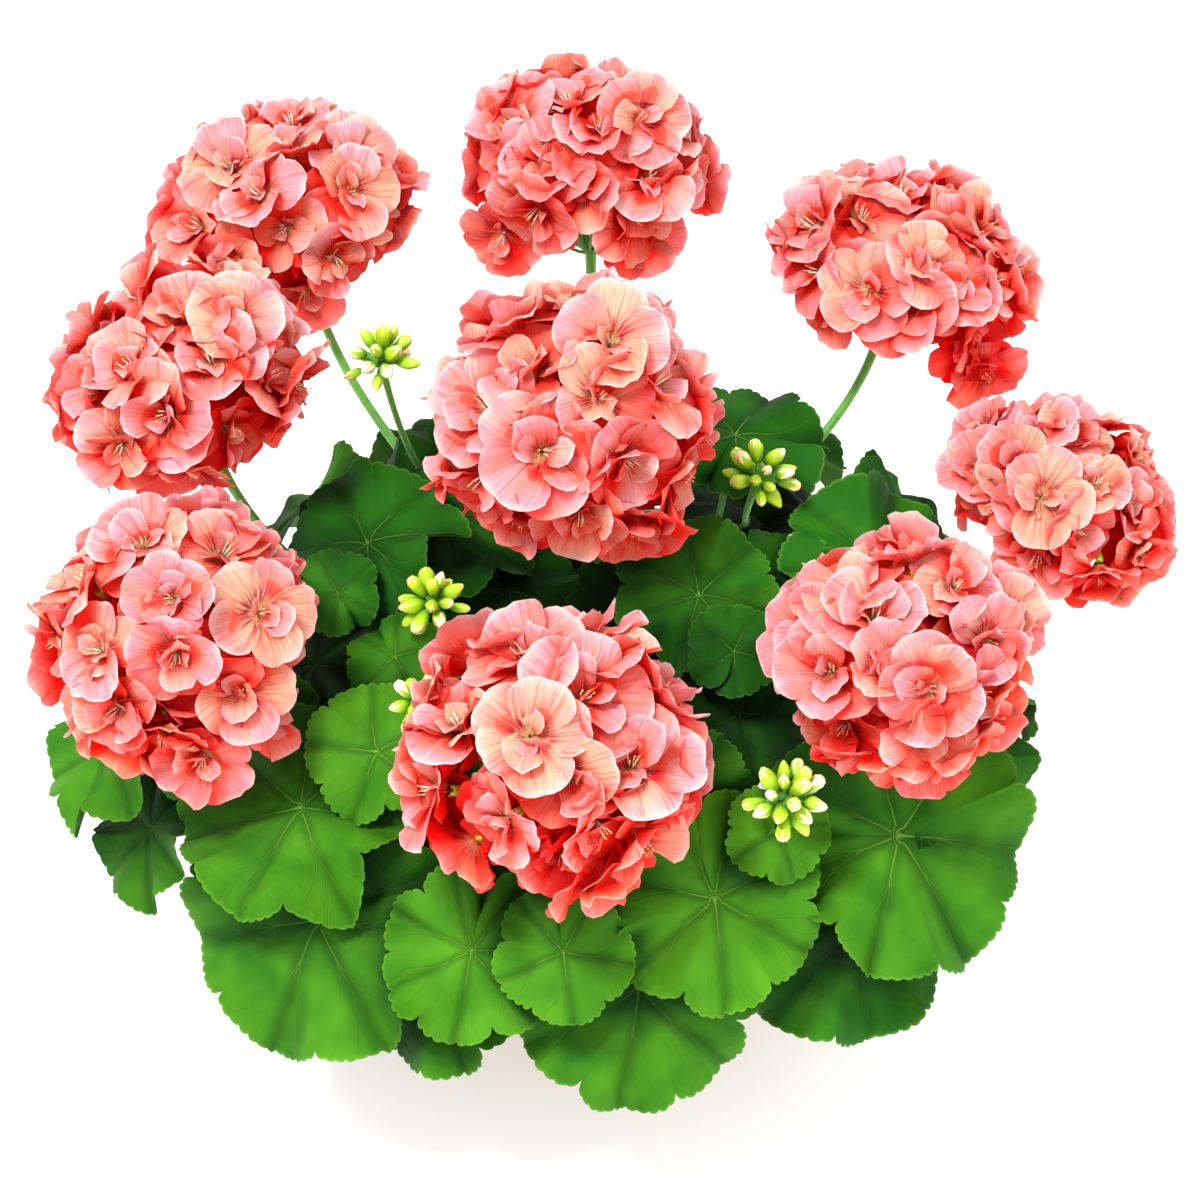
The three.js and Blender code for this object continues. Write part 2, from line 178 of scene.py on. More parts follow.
def plainMesh(piece):  # what its modifiers make of it
    ready = piece.evaluated_get(bpy.context.evaluated_depsgraph_get())
    return bpy.data.meshes.new_from_object(ready)


def runTree(name, mesh, tree, values):
    piece = addPiece(name, mesh)
    build = piece.modifiers.new("build", "NODES")
    build.node_group = tree
    for item in tree.interface.items_tree:
        if item.in_out == "INPUT" and item.name in values:
            build[item.identifier] = values[item.name]
    plain = plainMesh(piece)
    piece.modifiers.remove(build)
    piece.data = plain
    plain.name = name
    bpy.data.meshes.remove(mesh)
    return piece


def meshOf(name, parts, uvName, material=None):
    # A part has points, faces, a uv for each point, named floats for each point, and sharp edges
    points, faces, uvs, sharp, floats, start = [], [], [], [], {}, 0
    for part in parts:
        points.append(part["points"])
        uvs.append(part["uv"])
        faces.extend([tuple(i + start for i in face) for face in part["faces"]])
        sharp.append(np.asarray(part["sharp"], int).reshape(-1, 2) + start)
        for key, values in part["floats"].items():
            floats.setdefault(key, []).append(values)
        start += len(part["points"])
    mesh = bpy.data.meshes.new(name)
    mesh.from_pydata((np.vstack(points) * mm).tolist(), [], faces)
    mesh.shade_smooth()
    corner = np.empty(len(mesh.loops), int)
    mesh.loops.foreach_get("vertex_index", corner)
    layer = mesh.uv_layers.new(name=uvName)
    layer.uv.foreach_set("vector", np.vstack(uvs)[corner].ravel())
    for key, values in floats.items():
        setOnPoints(mesh, key, "FLOAT", np.concatenate(values))
    edgeKeys = np.sort(readEdges(mesh), axis=1) @ [start, 1]
    sharpKeys = np.sort(np.vstack(sharp), axis=1) @ [start, 1]
    isSharp = np.isin(edgeKeys, sharpKeys)
    mesh.attributes.new("sharp_edge", "BOOLEAN", "EDGE").data.foreach_set("value", isSharp)
    if material:
        mesh.materials.append(material)
    return mesh


def place(piece, node, slot):
    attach(piece, "root")
    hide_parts(node)


# Camera, floor and light

studio = {
    "target": (0, 0, 180), "distance": 1100, "elevation": 40, "lens": 82.5,
    "floorColour": "#FFFFFF", "floorReach": 6000, "worldColour": "#FFFFFF", "worldStrength": 1.7,
    "shadeReach": 15,
    "keyPower": 54, "keyPlace": (-550, -750, 1900), "keySize": 400,
    "fillPower": 10, "fillPlace": (1400, -1100, 1000), "fillSize": 1400,
}

rise = math.radians(studio["elevation"])
cameraData = bpy.data.cameras.new("camera")
cameraData.lens = studio["lens"]
cameraData.sensor_width = 36
camera = addPiece("camera", cameraData)
camera.location = [
    studio["target"][0] * mm,
    (studio["target"][1] - studio["distance"] * math.cos(rise)) * mm,
    (studio["target"][2] + studio["distance"] * math.sin(rise)) * mm,
]
camera.rotation_euler = (math.pi / 2 - rise, 0, 0)
scene.camera = camera
scene.view_settings.view_transform = "Standard"
scene.cycles.max_bounces = 4  # thin petals and leaves need no more
scene.cycles.diffuse_bounces = 2
scene.cycles.glossy_bounces = 1
scene.cycles.transmission_bounces = 3
scene.cycles.use_light_tree = False
scene.cycles.debug_use_spatial_splits = True  # quicker among many crossing petals
scene.cycles.caustics_reflective = False
scene.cycles.caustics_refractive = False
# after two bounces the sky stands in for further ones, which halves the time of a render
scene.cycles.use_fast_gi = True
scene.cycles.fast_gi_method = "REPLACE"
scene.cycles.ao_bounces = 2
scene.cycles.ao_bounces_render = 2

for label in ("key", "fill"):
    lamp = bpy.data.lights.new(label, "AREA")
    lamp.shape = "DISK"
    lamp.size = studio[label + "Size"] * mm
    lamp.energy = studio[label + "Power"]
    light = addPiece(label, lamp)
    light.location = np.array(studio[label + "Place"]) * mm
    aim = np.subtract(studio["target"], studio[label + "Place"])
    light.rotation_euler = Matrix(frameAt(-aim, up).tolist()).to_euler()

world = bpy.data.worlds.new("paleSky")
world.use_nodes = True
scene.world = world
sky = world.node_tree.nodes["Background"]
sky.inputs["Color"].default_value = hexColour(studio["worldColour"])
sky.inputs["Strength"].default_value = studio["worldStrength"]
world.cycles.sampling_method = "NONE"  # an even sky needs no samples of its own
world.light_settings.distance = studio["shadeReach"] * mm
world.light_settings.ao_factor = 1.0

paper, tree = newMaterial("paperSweep")  # matt studio paper
shader = addNode(tree, "BsdfPrincipled", links={"Base Color": hexColour(studio["floorColour"]),
    "Roughness": 0.9, "Specular IOR Level": 0.1})
addNode(tree, "OutputMaterial", links={"Surface": shader})
floorMesh = bpy.data.meshes.new("floor")
reach = studio["floorReach"] * mm
corners = [(-reach, -reach, 0), (reach, -reach, 0), (reach, reach, 0), (-reach, reach, 0)]
floorMesh.from_pydata(corners, [], [(0, 1, 2, 3)])
floorMesh.materials.append(paper)
floor = addPiece("floor", floorMesh)
print("studio ready")


# Layout of the plant. It is that of the solids, apart from the inner leaves, a leaf at the front right
# that sits 4 mm lower, a fuller bud cluster at the back left, and two heads whose florets end higher up.

# leaf: x, y, z of the stalk's top, radius, way it faces, tilt, turn of its tip, wave of its edge;
# the inner ones are small shaded leaves that close the view to the floor
shoots = [
    {"name": "front", "azimuth": -90, "ring": 25, "reach": 66, "top": 156,
     "leaves": [
         [-13, -180, 169, 25, -95, 50, 10, 2], [14, -172, 140, 45, -85, 60, -10, 4],
         [-46, -171, 160, 33, -100, 50, -5, 3], [-36, -94, 180, 30, -95, 30, 0, 3]],
     "inner": [[-36, -136, 142, 31, -95, 45, 0, 3]],
     "head": {"centre": [-16, -155, 241], "width": 52, "height": 44, "lean": 18}},
    {"name": "front_right", "azimuth": -45, "ring": 25, "reach": 74, "top": 158,
     "leaves": [
         [41, -161, 176, 40, -80, 50, 0, 4], [110, -125, 172, 54, -55, 42, 62, 5],
         [93, -139, 139, 45, -65, 60, 0, 4], [52, -89, 200, 26, -75, 35, 0, 3],
         [28, -132, 197, 30, -85, 40, -25, 3], [63, -148, 198, 19, -75, 45, 10, 3],
         [94, -90, 152, 29, -60, 35, -100, 3]],
     "head": {"centre": [107, -112, 248], "width": 46, "height": 39, "lean": 20},
     "buds": {"centre": [65, -152, 217], "spread": 15, "count": 7, "lean": 25}},
    {"name": "right", "azimuth": 0, "ring": 25, "reach": 78, "top": 160,
     "leaves": [
         [110, -26, 215, 42, -25, 25, 110, 4], [134, 30, 182, 27, 5, 35, 40, 3],
         [163, 12, 141, 36, 5, 58, 0, 4], [148, -52, 144, 36, -20, 60, 20, 4]],
     "head": {"centre": [177, -5, 236], "width": 45, "height": 32, "lean": 25},
     "buds": {"centre": [163, -24, 207], "spread": 10, "count": 2, "lean": 60}},
    {"name": "back_right", "azimuth": 45, "ring": 25, "reach": 72, "top": 160,
     "leaves": [
         [54, 38, 235, 38, 10, 10, 55, 4], [76, 146, 154, 38, 62, 55, 10, 4],
         [138, 94, 150, 36, 33, 55, -10, 4], [88, 44, 190, 33, 20, 25, 0, 3]],
     "inner": [[54, 68, 176, 36, 70, 15, 0, 3]],
     "head": {"centre": [122, 105, 272], "width": 55, "height": 34, "lean": 15, "edge": 112},
     "buds": {"centre": [61, 0, 241], "spread": 16, "count": 7, "lean": 15}},
    {"name": "back", "azimuth": 90, "ring": 25, "reach": 70, "top": 160,
     "leaves": [
         [5, 150, 168, 40, 90, 50, 0, 4], [12, 50, 180, 31, 75, 25, 20, 3],
         [-30, 166, 116, 32, 100, 70, 0, 4], [42, 164, 118, 33, 80, 70, 0, 4]],
     "head": {"centre": [-4, 125, 304], "width": 51, "height": 41, "lean": 8, "edge": 106}},
    {"name": "back_left", "azimuth": 135, "ring": 25, "reach": 72, "top": 160,
     "leaves": [
         [-90, -16, 223, 38, -155, 20, -95, 4], [-88, 34, 206, 35, 170, 20, -70, 3],
         [-62, 4, 214, 35, -100, 12, 80, 3], [-99, -46, 222, 17, -110, 35, -135, 2],
         [-72, 136, 160, 39, 118, 52, -10, 4], [-130, 98, 150, 36, 145, 56, 10, 4],
         [-42, 94, 206, 33, 125, 30, -20, 3]],
     "head": {"centre": [-126, 120, 289], "width": 51, "height": 38, "lean": 15},
     "buds": {"centre": [-85, 35, 271], "spread": 16, "count": 6, "lean": 10}},
    {"name": "left", "azimuth": 180, "ring": 25, "reach": 76, "top": 156,
     "leaves": [
         [-192, -43, 143, 38, -165, 40, -20, 3], [-178, -66, 117, 32, -155, 50, -15, 3],
         [-77, -66, 208, 19, -110, 30, 45, 3], [-166, 24, 148, 34, 170, 56, 0, 4],
         [-112, -34, 176, 30, -150, 25, 20, 3]],
     "inner": [[-84, 6, 165, 32, -170, 20, 0, 3]],
     "head": {"centre": [-159, 15, 277], "width": 52, "height": 40, "lean": 15},
     "buds": {"centre": [-62, -62, 230], "spread": 14, "count": 5, "lean": 20}},
    {"name": "front_left", "azimuth": -135, "ring": 25, "reach": 76, "top": 156,
     "leaves": [
         [-104, -145, 148, 53, -123, 50, -60, 5], [-61, -164, 131, 32, -105, 62, -25, 3],
         [-110, -120, 182, 45, -130, 25, -45, 4], [-139, -75, 173, 38, -135, 45, -45, 4],
         [-84, -112, 142, 33, -120, 38, -25, 3], [-81, -116, 206, 26, -105, 40, -85, 3]],
     "head": {"centre": [-152, -92, 240], "width": 48, "height": 49, "lean": 20},
     "buds": {"centre": [-66, -112, 226], "spread": 9, "count": 3, "lean": 20}},
    {"name": "middle", "azimuth": 0, "ring": 0, "reach": 6, "top": 176,
     "leaves": [
         [37, -56, 230, 32, -75, 25, 175, 3], [49, -85, 227, 18, -80, 35, 145, 3],
         [16, -34, 204, 29, -80, 20, -150, 3], [60, -42, 215, 35, -55, 20, 125, 3],
         [-36, -12, 196, 31, -100, 12, 20, 3]],
     "inner": [[-6, 30, 165, 30, -90, 10, 0, 3]],
     "head": {"centre": [-10, -32, 291], "width": 51, "height": 52, "lean": 8}},
]


headFoot = 0.92  # how far below its middle a head's stalk ends, as a share of its height


def umbelAxis(umbel):
    outward = unit(np.array([umbel["centre"][0], umbel["centre"][1], 0.0]))
    lean = math.radians(umbel["lean"])
    return outward * math.sin(lean) + up * math.cos(lean)


# Materials

# Zonal geranium leaf: thin living tissue under a felt of short hairs, so it is matt and velvety,
# glows a little where light comes through it, and shows fine paler veins in its folds
leafLook = {
    "dark": "#0D4106", "mid": "#1C580A", "light": "#4C8814", "vein": "#6E9E32", "back": "#456B2C",
    "shaded": "#082204", "creaseShadeColour": "#0A3605",
    "veinWidth": 0.012, "forks": [(0.28, 0.36), (0.52, 0.18)], "cell": 2.6, "pucker": 7.0, "patch": 18.0,
    "throughLight": 0.14,
}
leafMaterial, tree = newMaterial("velvetyGeraniumLeaf")
veinMap = addNode(tree, "UVMap", {"uv_map": "VeinMap"})
spot = addNode(tree, "SeparateXYZ", links=[veinMap])
here = addNode(tree, "TexCoord").outputs["Object"]
patches = addNode(tree, "TexNoise", links={"Vector": here, "Scale": 1000 / leafLook["patch"],
    "Detail": 1.0})
lobeTurn = addNode(tree, "Math", "MULTIPLY", [spot, 8.0])
bent = addNode(tree, "Math", "MULTIPLY_ADD", [patches, 0.16, lobeTurn])
straight = addNode(tree, "Math", "SUBTRACT", [bent, 0.08])
lobePart = addNode(tree, "Math", "FRACT", [straight])
fromVein = addNode(tree, "Math", "SUBTRACT", [lobePart, 0.5])
sideways = addNode(tree, "Math", "ABSOLUTE", [fromVein])
lateral = addNode(tree, "Math", "MULTIPLY", [sideways, spot.outputs[1]])
# main veins thin out towards the edge
width = addNode(tree, "MapRange", links=[spot.outputs[1], 0.0, 1.0, leafLook["veinWidth"],
    leafLook["veinWidth"] * 0.35])
mainVein = addNode(tree, "MapRange", links=[lateral, 0.0, width, 1.0, 0.0])
veins = mainVein
# each main vein forks twice on its way to the edge; a fork has its start and its spread at the edge
for forkStart, forkSpread in leafLook["forks"]:
    onFork = addNode(tree, "MapRange", links=[spot.outputs[1], forkStart, 1.0, 0.0, forkSpread])
    offFork = addNode(tree, "Math", "SUBTRACT", [sideways, onFork])
    farFork = addNode(tree, "Math", "ABSOLUTE", [offFork])
    fromFork = addNode(tree, "Math", "MULTIPLY", [farFork, spot.outputs[1]])
    forkVein = addNode(tree, "MapRange", links=[fromFork, 0.0, width, 0.7, 0.0])
    veins = addNode(tree, "Math", "MAXIMUM", [veins, forkVein])
leafTone = addNode(tree, "Attribute", {"attribute_name": "tone"}).outputs["Fac"]
blend = addNode(tree, "Math", "MULTIPLY_ADD", [patches, 0.5, leafTone])
blade = addNode(tree, "ValToRGB", links=[blend], stops=[(0.2, leafLook["dark"]), (1.0, leafLook["light"]),
    (0.55, leafLook["mid"])])
# painted shade: the blade is darkened in the crease along each main vein, where shade falls in the fold
creaseShadeShare = addNode(tree, "MapRange", softly, [lateral, 0.0, 0.1, 0.45, 0.0])
creaseShadedBlade = addNode(tree, "Mix", ofColours, {0: creaseShadeShare, 6: blade, 7: leafLook["creaseShadeColour"]})
rimShare = addNode(tree, "MapRange", links=[spot.outputs[1], 0.97, 1.0, 0.0, 0.3])
edged = addNode(tree, "Mix", ofColours, {0: rimShare, 6: creaseShadedBlade, 7: leafLook["vein"]})
veinFade = addNode(tree, "MapRange", links=[spot.outputs[1], 0.08, 0.5, 0.8, 0.14])
veinShare = addNode(tree, "Math", "MULTIPLY", [veins, veinFade])
veined = addNode(tree, "Mix", ofColours, {0: veinShare, 6: edged, 7: leafLook["vein"]})
under = addNode(tree, "Attribute", {"attribute_name": "under"}).outputs["Fac"]
backShare = addNode(tree, "Math", "MULTIPLY", [under, 0.7])
leafColour = addNode(tree, "Mix", ofColours, {0: backShare, 6: veined, 7: leafLook["back"]})
felt = addNode(tree, "TexNoise", links={"Vector": here, "Scale": 1000 / leafLook["cell"], "Detail": 0.0})
puckers = addNode(tree, "TexNoise", links={"Vector": here, "Scale": 1000 / leafLook["pucker"],
    "Detail": 1.0})
swell = addNode(tree, "Math", "MULTIPLY_ADD", [puckers, 2.4, felt])
relief = addNode(tree, "Math", "MULTIPLY_ADD", [veins, -0.9, swell])
leafBump = addNode(tree, "Bump", links={"Strength": 0.6, "Distance": 0.5 * mm, "Height": relief})
# painted shade: the colour is darkened towards dark green where the attribute open says little sky is seen,
# as little light gets in among the leaves and what does is dark green
openness = addNode(tree, "Attribute", {"attribute_name": "open"}).outputs["Fac"]
shade = addNode(tree, "ValToRGB", links=[openness], stops=[(0.0, leafLook["shaded"]), (0.75, "#FFFFFF"),
    (0.35, "#6C9460")])
shaded = addNode(tree, "Mix", multiplied, {0: 1.0, 6: leafColour, 7: shade})
shader = addNode(tree, "BsdfPrincipled", links={"Base Color": shaded, "Roughness": 0.68,
    "Specular IOR Level": 0.08, "Normal": leafBump})
glow = addNode(tree, "BsdfTranslucent", links={"Color": shaded})
both = addNode(tree, "MixShader", links=[leafLook["throughLight"], shader, glow])
addNode(tree, "OutputMaterial", links={"Surface": both})

# Living stalk: soft green skin with short white hairs, browner and woodier near the soil
stalkLook = {
    "young": "#559A26", "grown": "#3A7C22", "woody": "#5A5030", "fibre": 0.9,
    "woodyBelow": 115, "youngAbove": 250,
}
stalkMaterial, tree = newMaterial("downyGreenStalk")
here = addNode(tree, "TexCoord").outputs["Object"]
high = addNode(tree, "SeparateXYZ", links=[here])
age = addNode(tree, "MapRange", links=[high.outputs[2], stalkLook["woodyBelow"] * mm,
    stalkLook["youngAbove"] * mm])
skin = addNode(tree, "ValToRGB", links=[age], stops=[(0.0, stalkLook["woody"]), (1.0, stalkLook["young"]),
    (0.3, stalkLook["grown"])])
long = addNode(tree, "Mapping", links={"Vector": here, "Scale": (1, 1, 0.12)})
fibres = addNode(tree, "TexNoise", links={"Vector": long, "Scale": 1000 / stalkLook["fibre"],
    "Detail": 2.0})
streak = addNode(tree, "Mix", {"data_type": "RGBA", "blend_type": "OVERLAY"},
    {0: 0.5, 6: skin, 7: fibres})
stalkBump = addNode(tree, "Bump", links={"Strength": 0.4, "Distance": 0.15 * mm, "Height": fibres})
shader = addNode(tree, "BsdfPrincipled", links={"Base Color": streak, "Roughness": 0.5,
    "Sheen Weight": 0.15, "Subsurface Weight": 0.1, "Subsurface Scale": 0.8 * mm, "Normal": stalkBump})
addNode(tree, "OutputMaterial", links={"Surface": shader})

# Petal: a thin silky film of cells, so light comes through it; its folds are painted redder as shade,
# its edge and back are paler and fine veins fan out from a cream throat with red rays
petalLook = {
    "throat": "#FFE09C", "ray": "#D8134A", "coral": "#FF5038", "salmon": "#FF8A70", "blush": "#FFB8AA",
    "pink": "#FFCEDC", "cream": "#FFE6BC", "rim": "#FFF2EA", "back": "#FFC0B4", "blotch": 10.0,
    "foldShadeOpen": "#F2E8EC", "foldShadeHalf": "#F8B8AC", "foldShadeClosed": "#FF5246", "foldShadeDeep": "#FF1A12",
    "throughLight": 0.65,
}
petalMaterial, tree = newMaterial("silkyCoralPetal")
petalMap = addNode(tree, "UVMap", {"uv_map": "PetalMap"})
spot = addNode(tree, "SeparateXYZ", links=[petalMap])
tone = addNode(tree, "Attribute", {"attribute_name": "tone"}).outputs["Fac"]
openness = addNode(tree, "Attribute", {"attribute_name": "open"}).outputs["Fac"]
under = addNode(tree, "Attribute", {"attribute_name": "under"}).outputs["Fac"]
here = addNode(tree, "TexCoord").outputs["Object"]
blotch = addNode(tree, "TexNoise", links={"Vector": here, "Scale": 1000 / petalLook["blotch"],
    "Detail": 0.0})
# blotches push the colour bands towards the edge or the throat
reach = addNode(tree, "Math", "MULTIPLY_ADD", [blotch, 1.1, spot.outputs[1]])
body = addNode(tree, "ValToRGB", links=[reach], stops=[(0.68, petalLook["coral"]),
    (1.15, petalLook["blush"]), (0.96, petalLook["salmon"])])
edgeShare = addNode(tree, "MapRange", links=[reach, 1.12, 1.46, 0.0, 1.0])
pinker = addNode(tree, "Mix", ofColours, {0: edgeShare, 6: body, 7: petalLook["pink"]})
# each petal leans to cream by its own tone, and more in some blotches
creamLean = addNode(tree, "Math", "MULTIPLY_ADD", [blotch, 1.3, tone])
creamShare = addNode(tree, "MapRange", links=[creamLean, 1.0, 1.55, 0.0, 0.85])
creamy = addNode(tree, "Mix", ofColours, {0: creamShare, 6: pinker, 7: petalLook["cream"]})
# veins fan out from the throat; the tone moves the pattern, so no two petals have the same one
toneAcross = addNode(tree, "CombineXYZ", links=[spot, spot.outputs[1], tone])
fan = addNode(tree, "Mapping", links={"Vector": toneAcross, "Scale": (24, 1.2, 40)})
fanNoise = addNode(tree, "TexNoise", links={"Vector": fan, "Scale": 1.0, "Detail": 1.0, "Roughness": 0.6})
fanLines = addNode(tree, "MapRange", links=[fanNoise, 0.47, 0.68, 0.0, 0.45])
lined = addNode(tree, "Mix", ofColours, {0: fanLines, 6: creamy, 7: petalLook["coral"]})
throatShare = addNode(tree, "MapRange", links=[spot.outputs[1], 0.34, 0.1, 0.0, 0.9])
throated = addNode(tree, "Mix", ofColours, {0: throatShare, 6: lined, 7: petalLook["throat"]})
rayReach = addNode(tree, "ValToRGB", links=[spot.outputs[1]],
    stops=[(0.1, 0.0), (0.55, 0.0), (0.2, 1.0), (0.34, 0.8)])
rayLines = addNode(tree, "MapRange", links=[fanNoise, 0.49, 0.58])
rays = addNode(tree, "Math", "MULTIPLY", [rayReach, rayLines])
rayed = addNode(tree, "Mix", ofColours, {0: rays, 6: throated, 7: petalLook["ray"]})
backShare = addNode(tree, "Math", "MULTIPLY", [under, 0.5])
backed = addNode(tree, "Mix", ofColours, {0: backShare, 6: rayed, 7: petalLook["back"]})
rimWidth = addNode(tree, "MapRange", links=[blotch, 0.35, 0.65, 0.98, 0.8])
rimShare = addNode(tree, "MapRange", links=[spot.outputs[1], rimWidth, 1.0, 0.0, 0.95])
rimmed = addNode(tree, "Mix", ofColours, {0: rimShare, 6: backed, 7: petalLook["rim"]})
# painted shade: light that has passed between and through petals is red, so the colour is painted redder
# and darker in folds, where open is low, and on faces turned away from a fixed sky direction
facing = addNode(tree, "NewGeometry")
skyward = addNode(tree, "VectorMath", "DOT_PRODUCT", [facing.outputs["Normal"], (-0.2, -0.4, 0.9)])
turnedAwayShade = addNode(tree, "MapRange", softly, [skyward.outputs["Value"], -0.3, 0.6, 0.24, 0.0])
outside = addNode(tree, "Math", "SUBTRACT", [openness, turnedAwayShade])
# the painted shade spares the cream throat, which stays light
lit = addNode(tree, "Math", "MULTIPLY_ADD", [throatShare, 0.3, outside])
fold = addNode(tree, "ValToRGB", links=[lit], stops=[(0.12, petalLook["foldShadeDeep"]),
    (0.94, petalLook["foldShadeOpen"]), (0.38, petalLook["foldShadeClosed"]), (0.68, petalLook["foldShadeHalf"])])
petalColour = addNode(tree, "Mix", multiplied, {0: 1.0, 6: rimmed, 7: fold})
petalBump = addNode(tree, "Bump", links={"Strength": 0.5, "Distance": 0.8 * mm, "Height": fanNoise})
shader = addNode(tree, "BsdfPrincipled", links={"Base Color": petalColour, "Roughness": 0.55,
    "Specular IOR Level": 0.2, "Normal": petalBump})
glow = addNode(tree, "BsdfTranslucent", links={"Color": petalColour})
both = addNode(tree, "MixShader", links=[petalLook["throughLight"], shader, glow])
addNode(tree, "OutputMaterial", links={"Surface": both})

# Bud and calyx: waxy young tissue, yellow-green, with cream where petals start to show
budLook = {"base": "#3E7E12", "middle": "#86B00E", "tip": "#ACC01C", "petal": "#F6DCB0"}
budMaterial, tree = newMaterial("waxyGreenBud")
budMap = addNode(tree, "UVMap", {"uv_map": "BudMap"})
spot = addNode(tree, "SeparateXYZ", links=[budMap])
tone = addNode(tree, "Attribute", {"attribute_name": "tone"}).outputs["Fac"]
skin = addNode(tree, "ValToRGB", links=[spot.outputs[1]],
    stops=[(0.0, budLook["base"]), (1.0, budLook["tip"]), (0.45, budLook["middle"])])
# five sepals; the gaps between them widen towards the tip, and more on a bud that is about to open
sepal = addNode(tree, "Math", "PINGPONG", [spot, 0.1])
gap = addNode(tree, "Math", "MULTIPLY_ADD", [sepal, 5.0, spot.outputs[1]])
openTip = addNode(tree, "Math", "ADD", [gap, tone])
showing = addNode(tree, "MapRange", softly, [openTip, 1.62, 1.74])
budColour = addNode(tree, "Mix", ofColours, {0: showing, 6: skin, 7: budLook["petal"]})
budBump = addNode(tree, "Bump", links={"Strength": 0.6, "Distance": 3.0 * mm, "Height": sepal})
shader = addNode(tree, "BsdfPrincipled", links={"Base Color": budColour, "Roughness": 0.42,
    "Specular IOR Level": 0.4, "Subsurface Weight": 0.15, "Subsurface Scale": 1.0 * mm,
    "Normal": budBump})
addNode(tree, "OutputMaterial", links={"Surface": shader})

# Anthers: dusty orange pollen sacs on pale filaments
antherLook = {"filament": "#FFF0D8", "pollen": "#F08A3C"}
antherMaterial, tree = newMaterial("dustyOrangeAnther")
budMap = addNode(tree, "UVMap", {"uv_map": "BudMap"})
spot = addNode(tree, "SeparateXYZ", links=[budMap])
dust = addNode(tree, "ValToRGB", links=[spot.outputs[1]],
    stops=[(0.55, antherLook["filament"]), (0.75, antherLook["pollen"])])
shader = addNode(tree, "BsdfPrincipled", links={"Base Color": dust, "Roughness": 0.75})
addNode(tree, "OutputMaterial", links={"Surface": shader})

# Terracotta: thrown and fired unglazed earthenware, matt and dusty, with grog specks, faint turning
# lines and a pale salt bloom where water has dried
clayLook = {
    "body": "#9E5837", "pale": "#B47A58", "dark": "#824024", "salt": "#C6AB94",
    "cloud": 30.0, "saltPatch": 12.0, "speck": 1.8, "line": 1.6, "tideHeight": 50,
}
clayMaterial, tree = newMaterial("firedTerracotta")
here = addNode(tree, "TexCoord").outputs["Object"]
high = addNode(tree, "SeparateXYZ", links=[here])
cloud = addNode(tree, "TexNoise", links={"Vector": here, "Scale": 1000 / clayLook["cloud"], "Detail": 5.0})
fired = addNode(tree, "ValToRGB", links=[cloud], stops=[(0.3, clayLook["dark"]), (0.72, clayLook["pale"]),
    (0.5, clayLook["body"])])
speck = addNode(tree, "TexVoronoi", links={"Vector": here, "Scale": 1000 / clayLook["speck"]})
speckSpot = addNode(tree, "MapRange", links=[speck.outputs["Distance"], 0.12, 0.2, 0.35, 0.0])
specked = addNode(tree, "Mix", ofColours, {0: speckSpot, 6: fired, 7: clayLook["dark"]})
tide = addNode(tree, "MapRange", softly, [high.outputs[2], clayLook["tideHeight"] * mm, 0.0, 0.0, 0.8])
saltCloud = addNode(tree, "TexNoise", links={"Vector": here, "Scale": 1000 / clayLook["saltPatch"],
    "Detail": 6.0, "Roughness": 0.7})
saltEdge = addNode(tree, "MapRange", links=[saltCloud, 0.45, 0.7])
salt = addNode(tree, "Math", "MULTIPLY", [tide, saltEdge])
clayColour = addNode(tree, "Mix", ofColours, {0: salt, 6: specked, 7: clayLook["salt"]})
turning = addNode(tree, "TexWave", {"bands_direction": "Z"},
    {"Vector": here, "Scale": 1000 / clayLook["line"] / 20, "Distortion": 1.5, "Detail": 2.0,
    "Detail Scale": 0.3})
grain = addNode(tree, "Math", "MULTIPLY_ADD", [turning.outputs["Fac"], 0.4, saltCloud])
clayBump = addNode(tree, "Bump", links={"Strength": 0.35, "Distance": 0.3 * mm, "Height": grain})
shader = addNode(tree, "BsdfPrincipled", links={"Base Color": clayColour, "Roughness": 0.86,
    "Specular IOR Level": 0.25, "Normal": clayBump})
addNode(tree, "OutputMaterial", links={"Surface": shader})

# Potting soil: moist peat and bark, dark, crumbly and dull
soilLook = {"wet": "#2A1C13", "dry": "#5A412C", "crumb": 2.5}
soilMaterial, tree = newMaterial("moistPottingSoil")
here = addNode(tree, "TexCoord").outputs["Object"]
lumps = addNode(tree, "TexNoise", links={"Vector": here, "Scale": 1000 / soilLook["crumb"], "Detail": 6.0,
    "Roughness": 0.7})
earth = addNode(tree, "ValToRGB", links=[lumps], stops=[(0.35, soilLook["wet"]), (0.75, soilLook["dry"])])
soilBump = addNode(tree, "Bump", links={"Strength": 0.9, "Distance": 1.2 * mm, "Height": lumps})
shader = addNode(tree, "BsdfPrincipled", links={"Base Color": earth, "Roughness": 0.95,
    "Specular IOR Level": 0.15, "Normal": soilBump})
addNode(tree, "OutputMaterial", links={"Surface": shader})
print("materials ready")


# Trees of geometry nodes

# Stalks: each chain of edges becomes a round stalk as thick as its points say, with short hairs
stalkTree, given = newTree("downyStalks", {
    "Sides": "Int", "Hairs per m2": "Float", "Hair length": "Float", "Seed": "Int", "Material": "Material"})
lines = addNode(stalkTree, "MeshToCurve", links={"Mesh": given["Geometry"]})
ring = addNode(stalkTree, "CurvePrimitiveCircle", links={"Resolution": given["Sides"], "Radius": 1.0})
thick = addNode(stalkTree, "InputNamedAttribute", {"data_type": "FLOAT"}, {"Name": "thick"})
tubes = addNode(stalkTree, "CurveToMesh", links={"Curve": lines, "Profile Curve": ring,
    "Scale": thick.outputs["Attribute"], "Fill Caps": True})
smooth = addNode(stalkTree, "SetShadeSmooth", links=[tubes])
roots = addNode(stalkTree, "DistributePointsOnFaces",
    links={"Mesh": tubes, "Density": given["Hairs per m2"], "Seed": given["Seed"]})
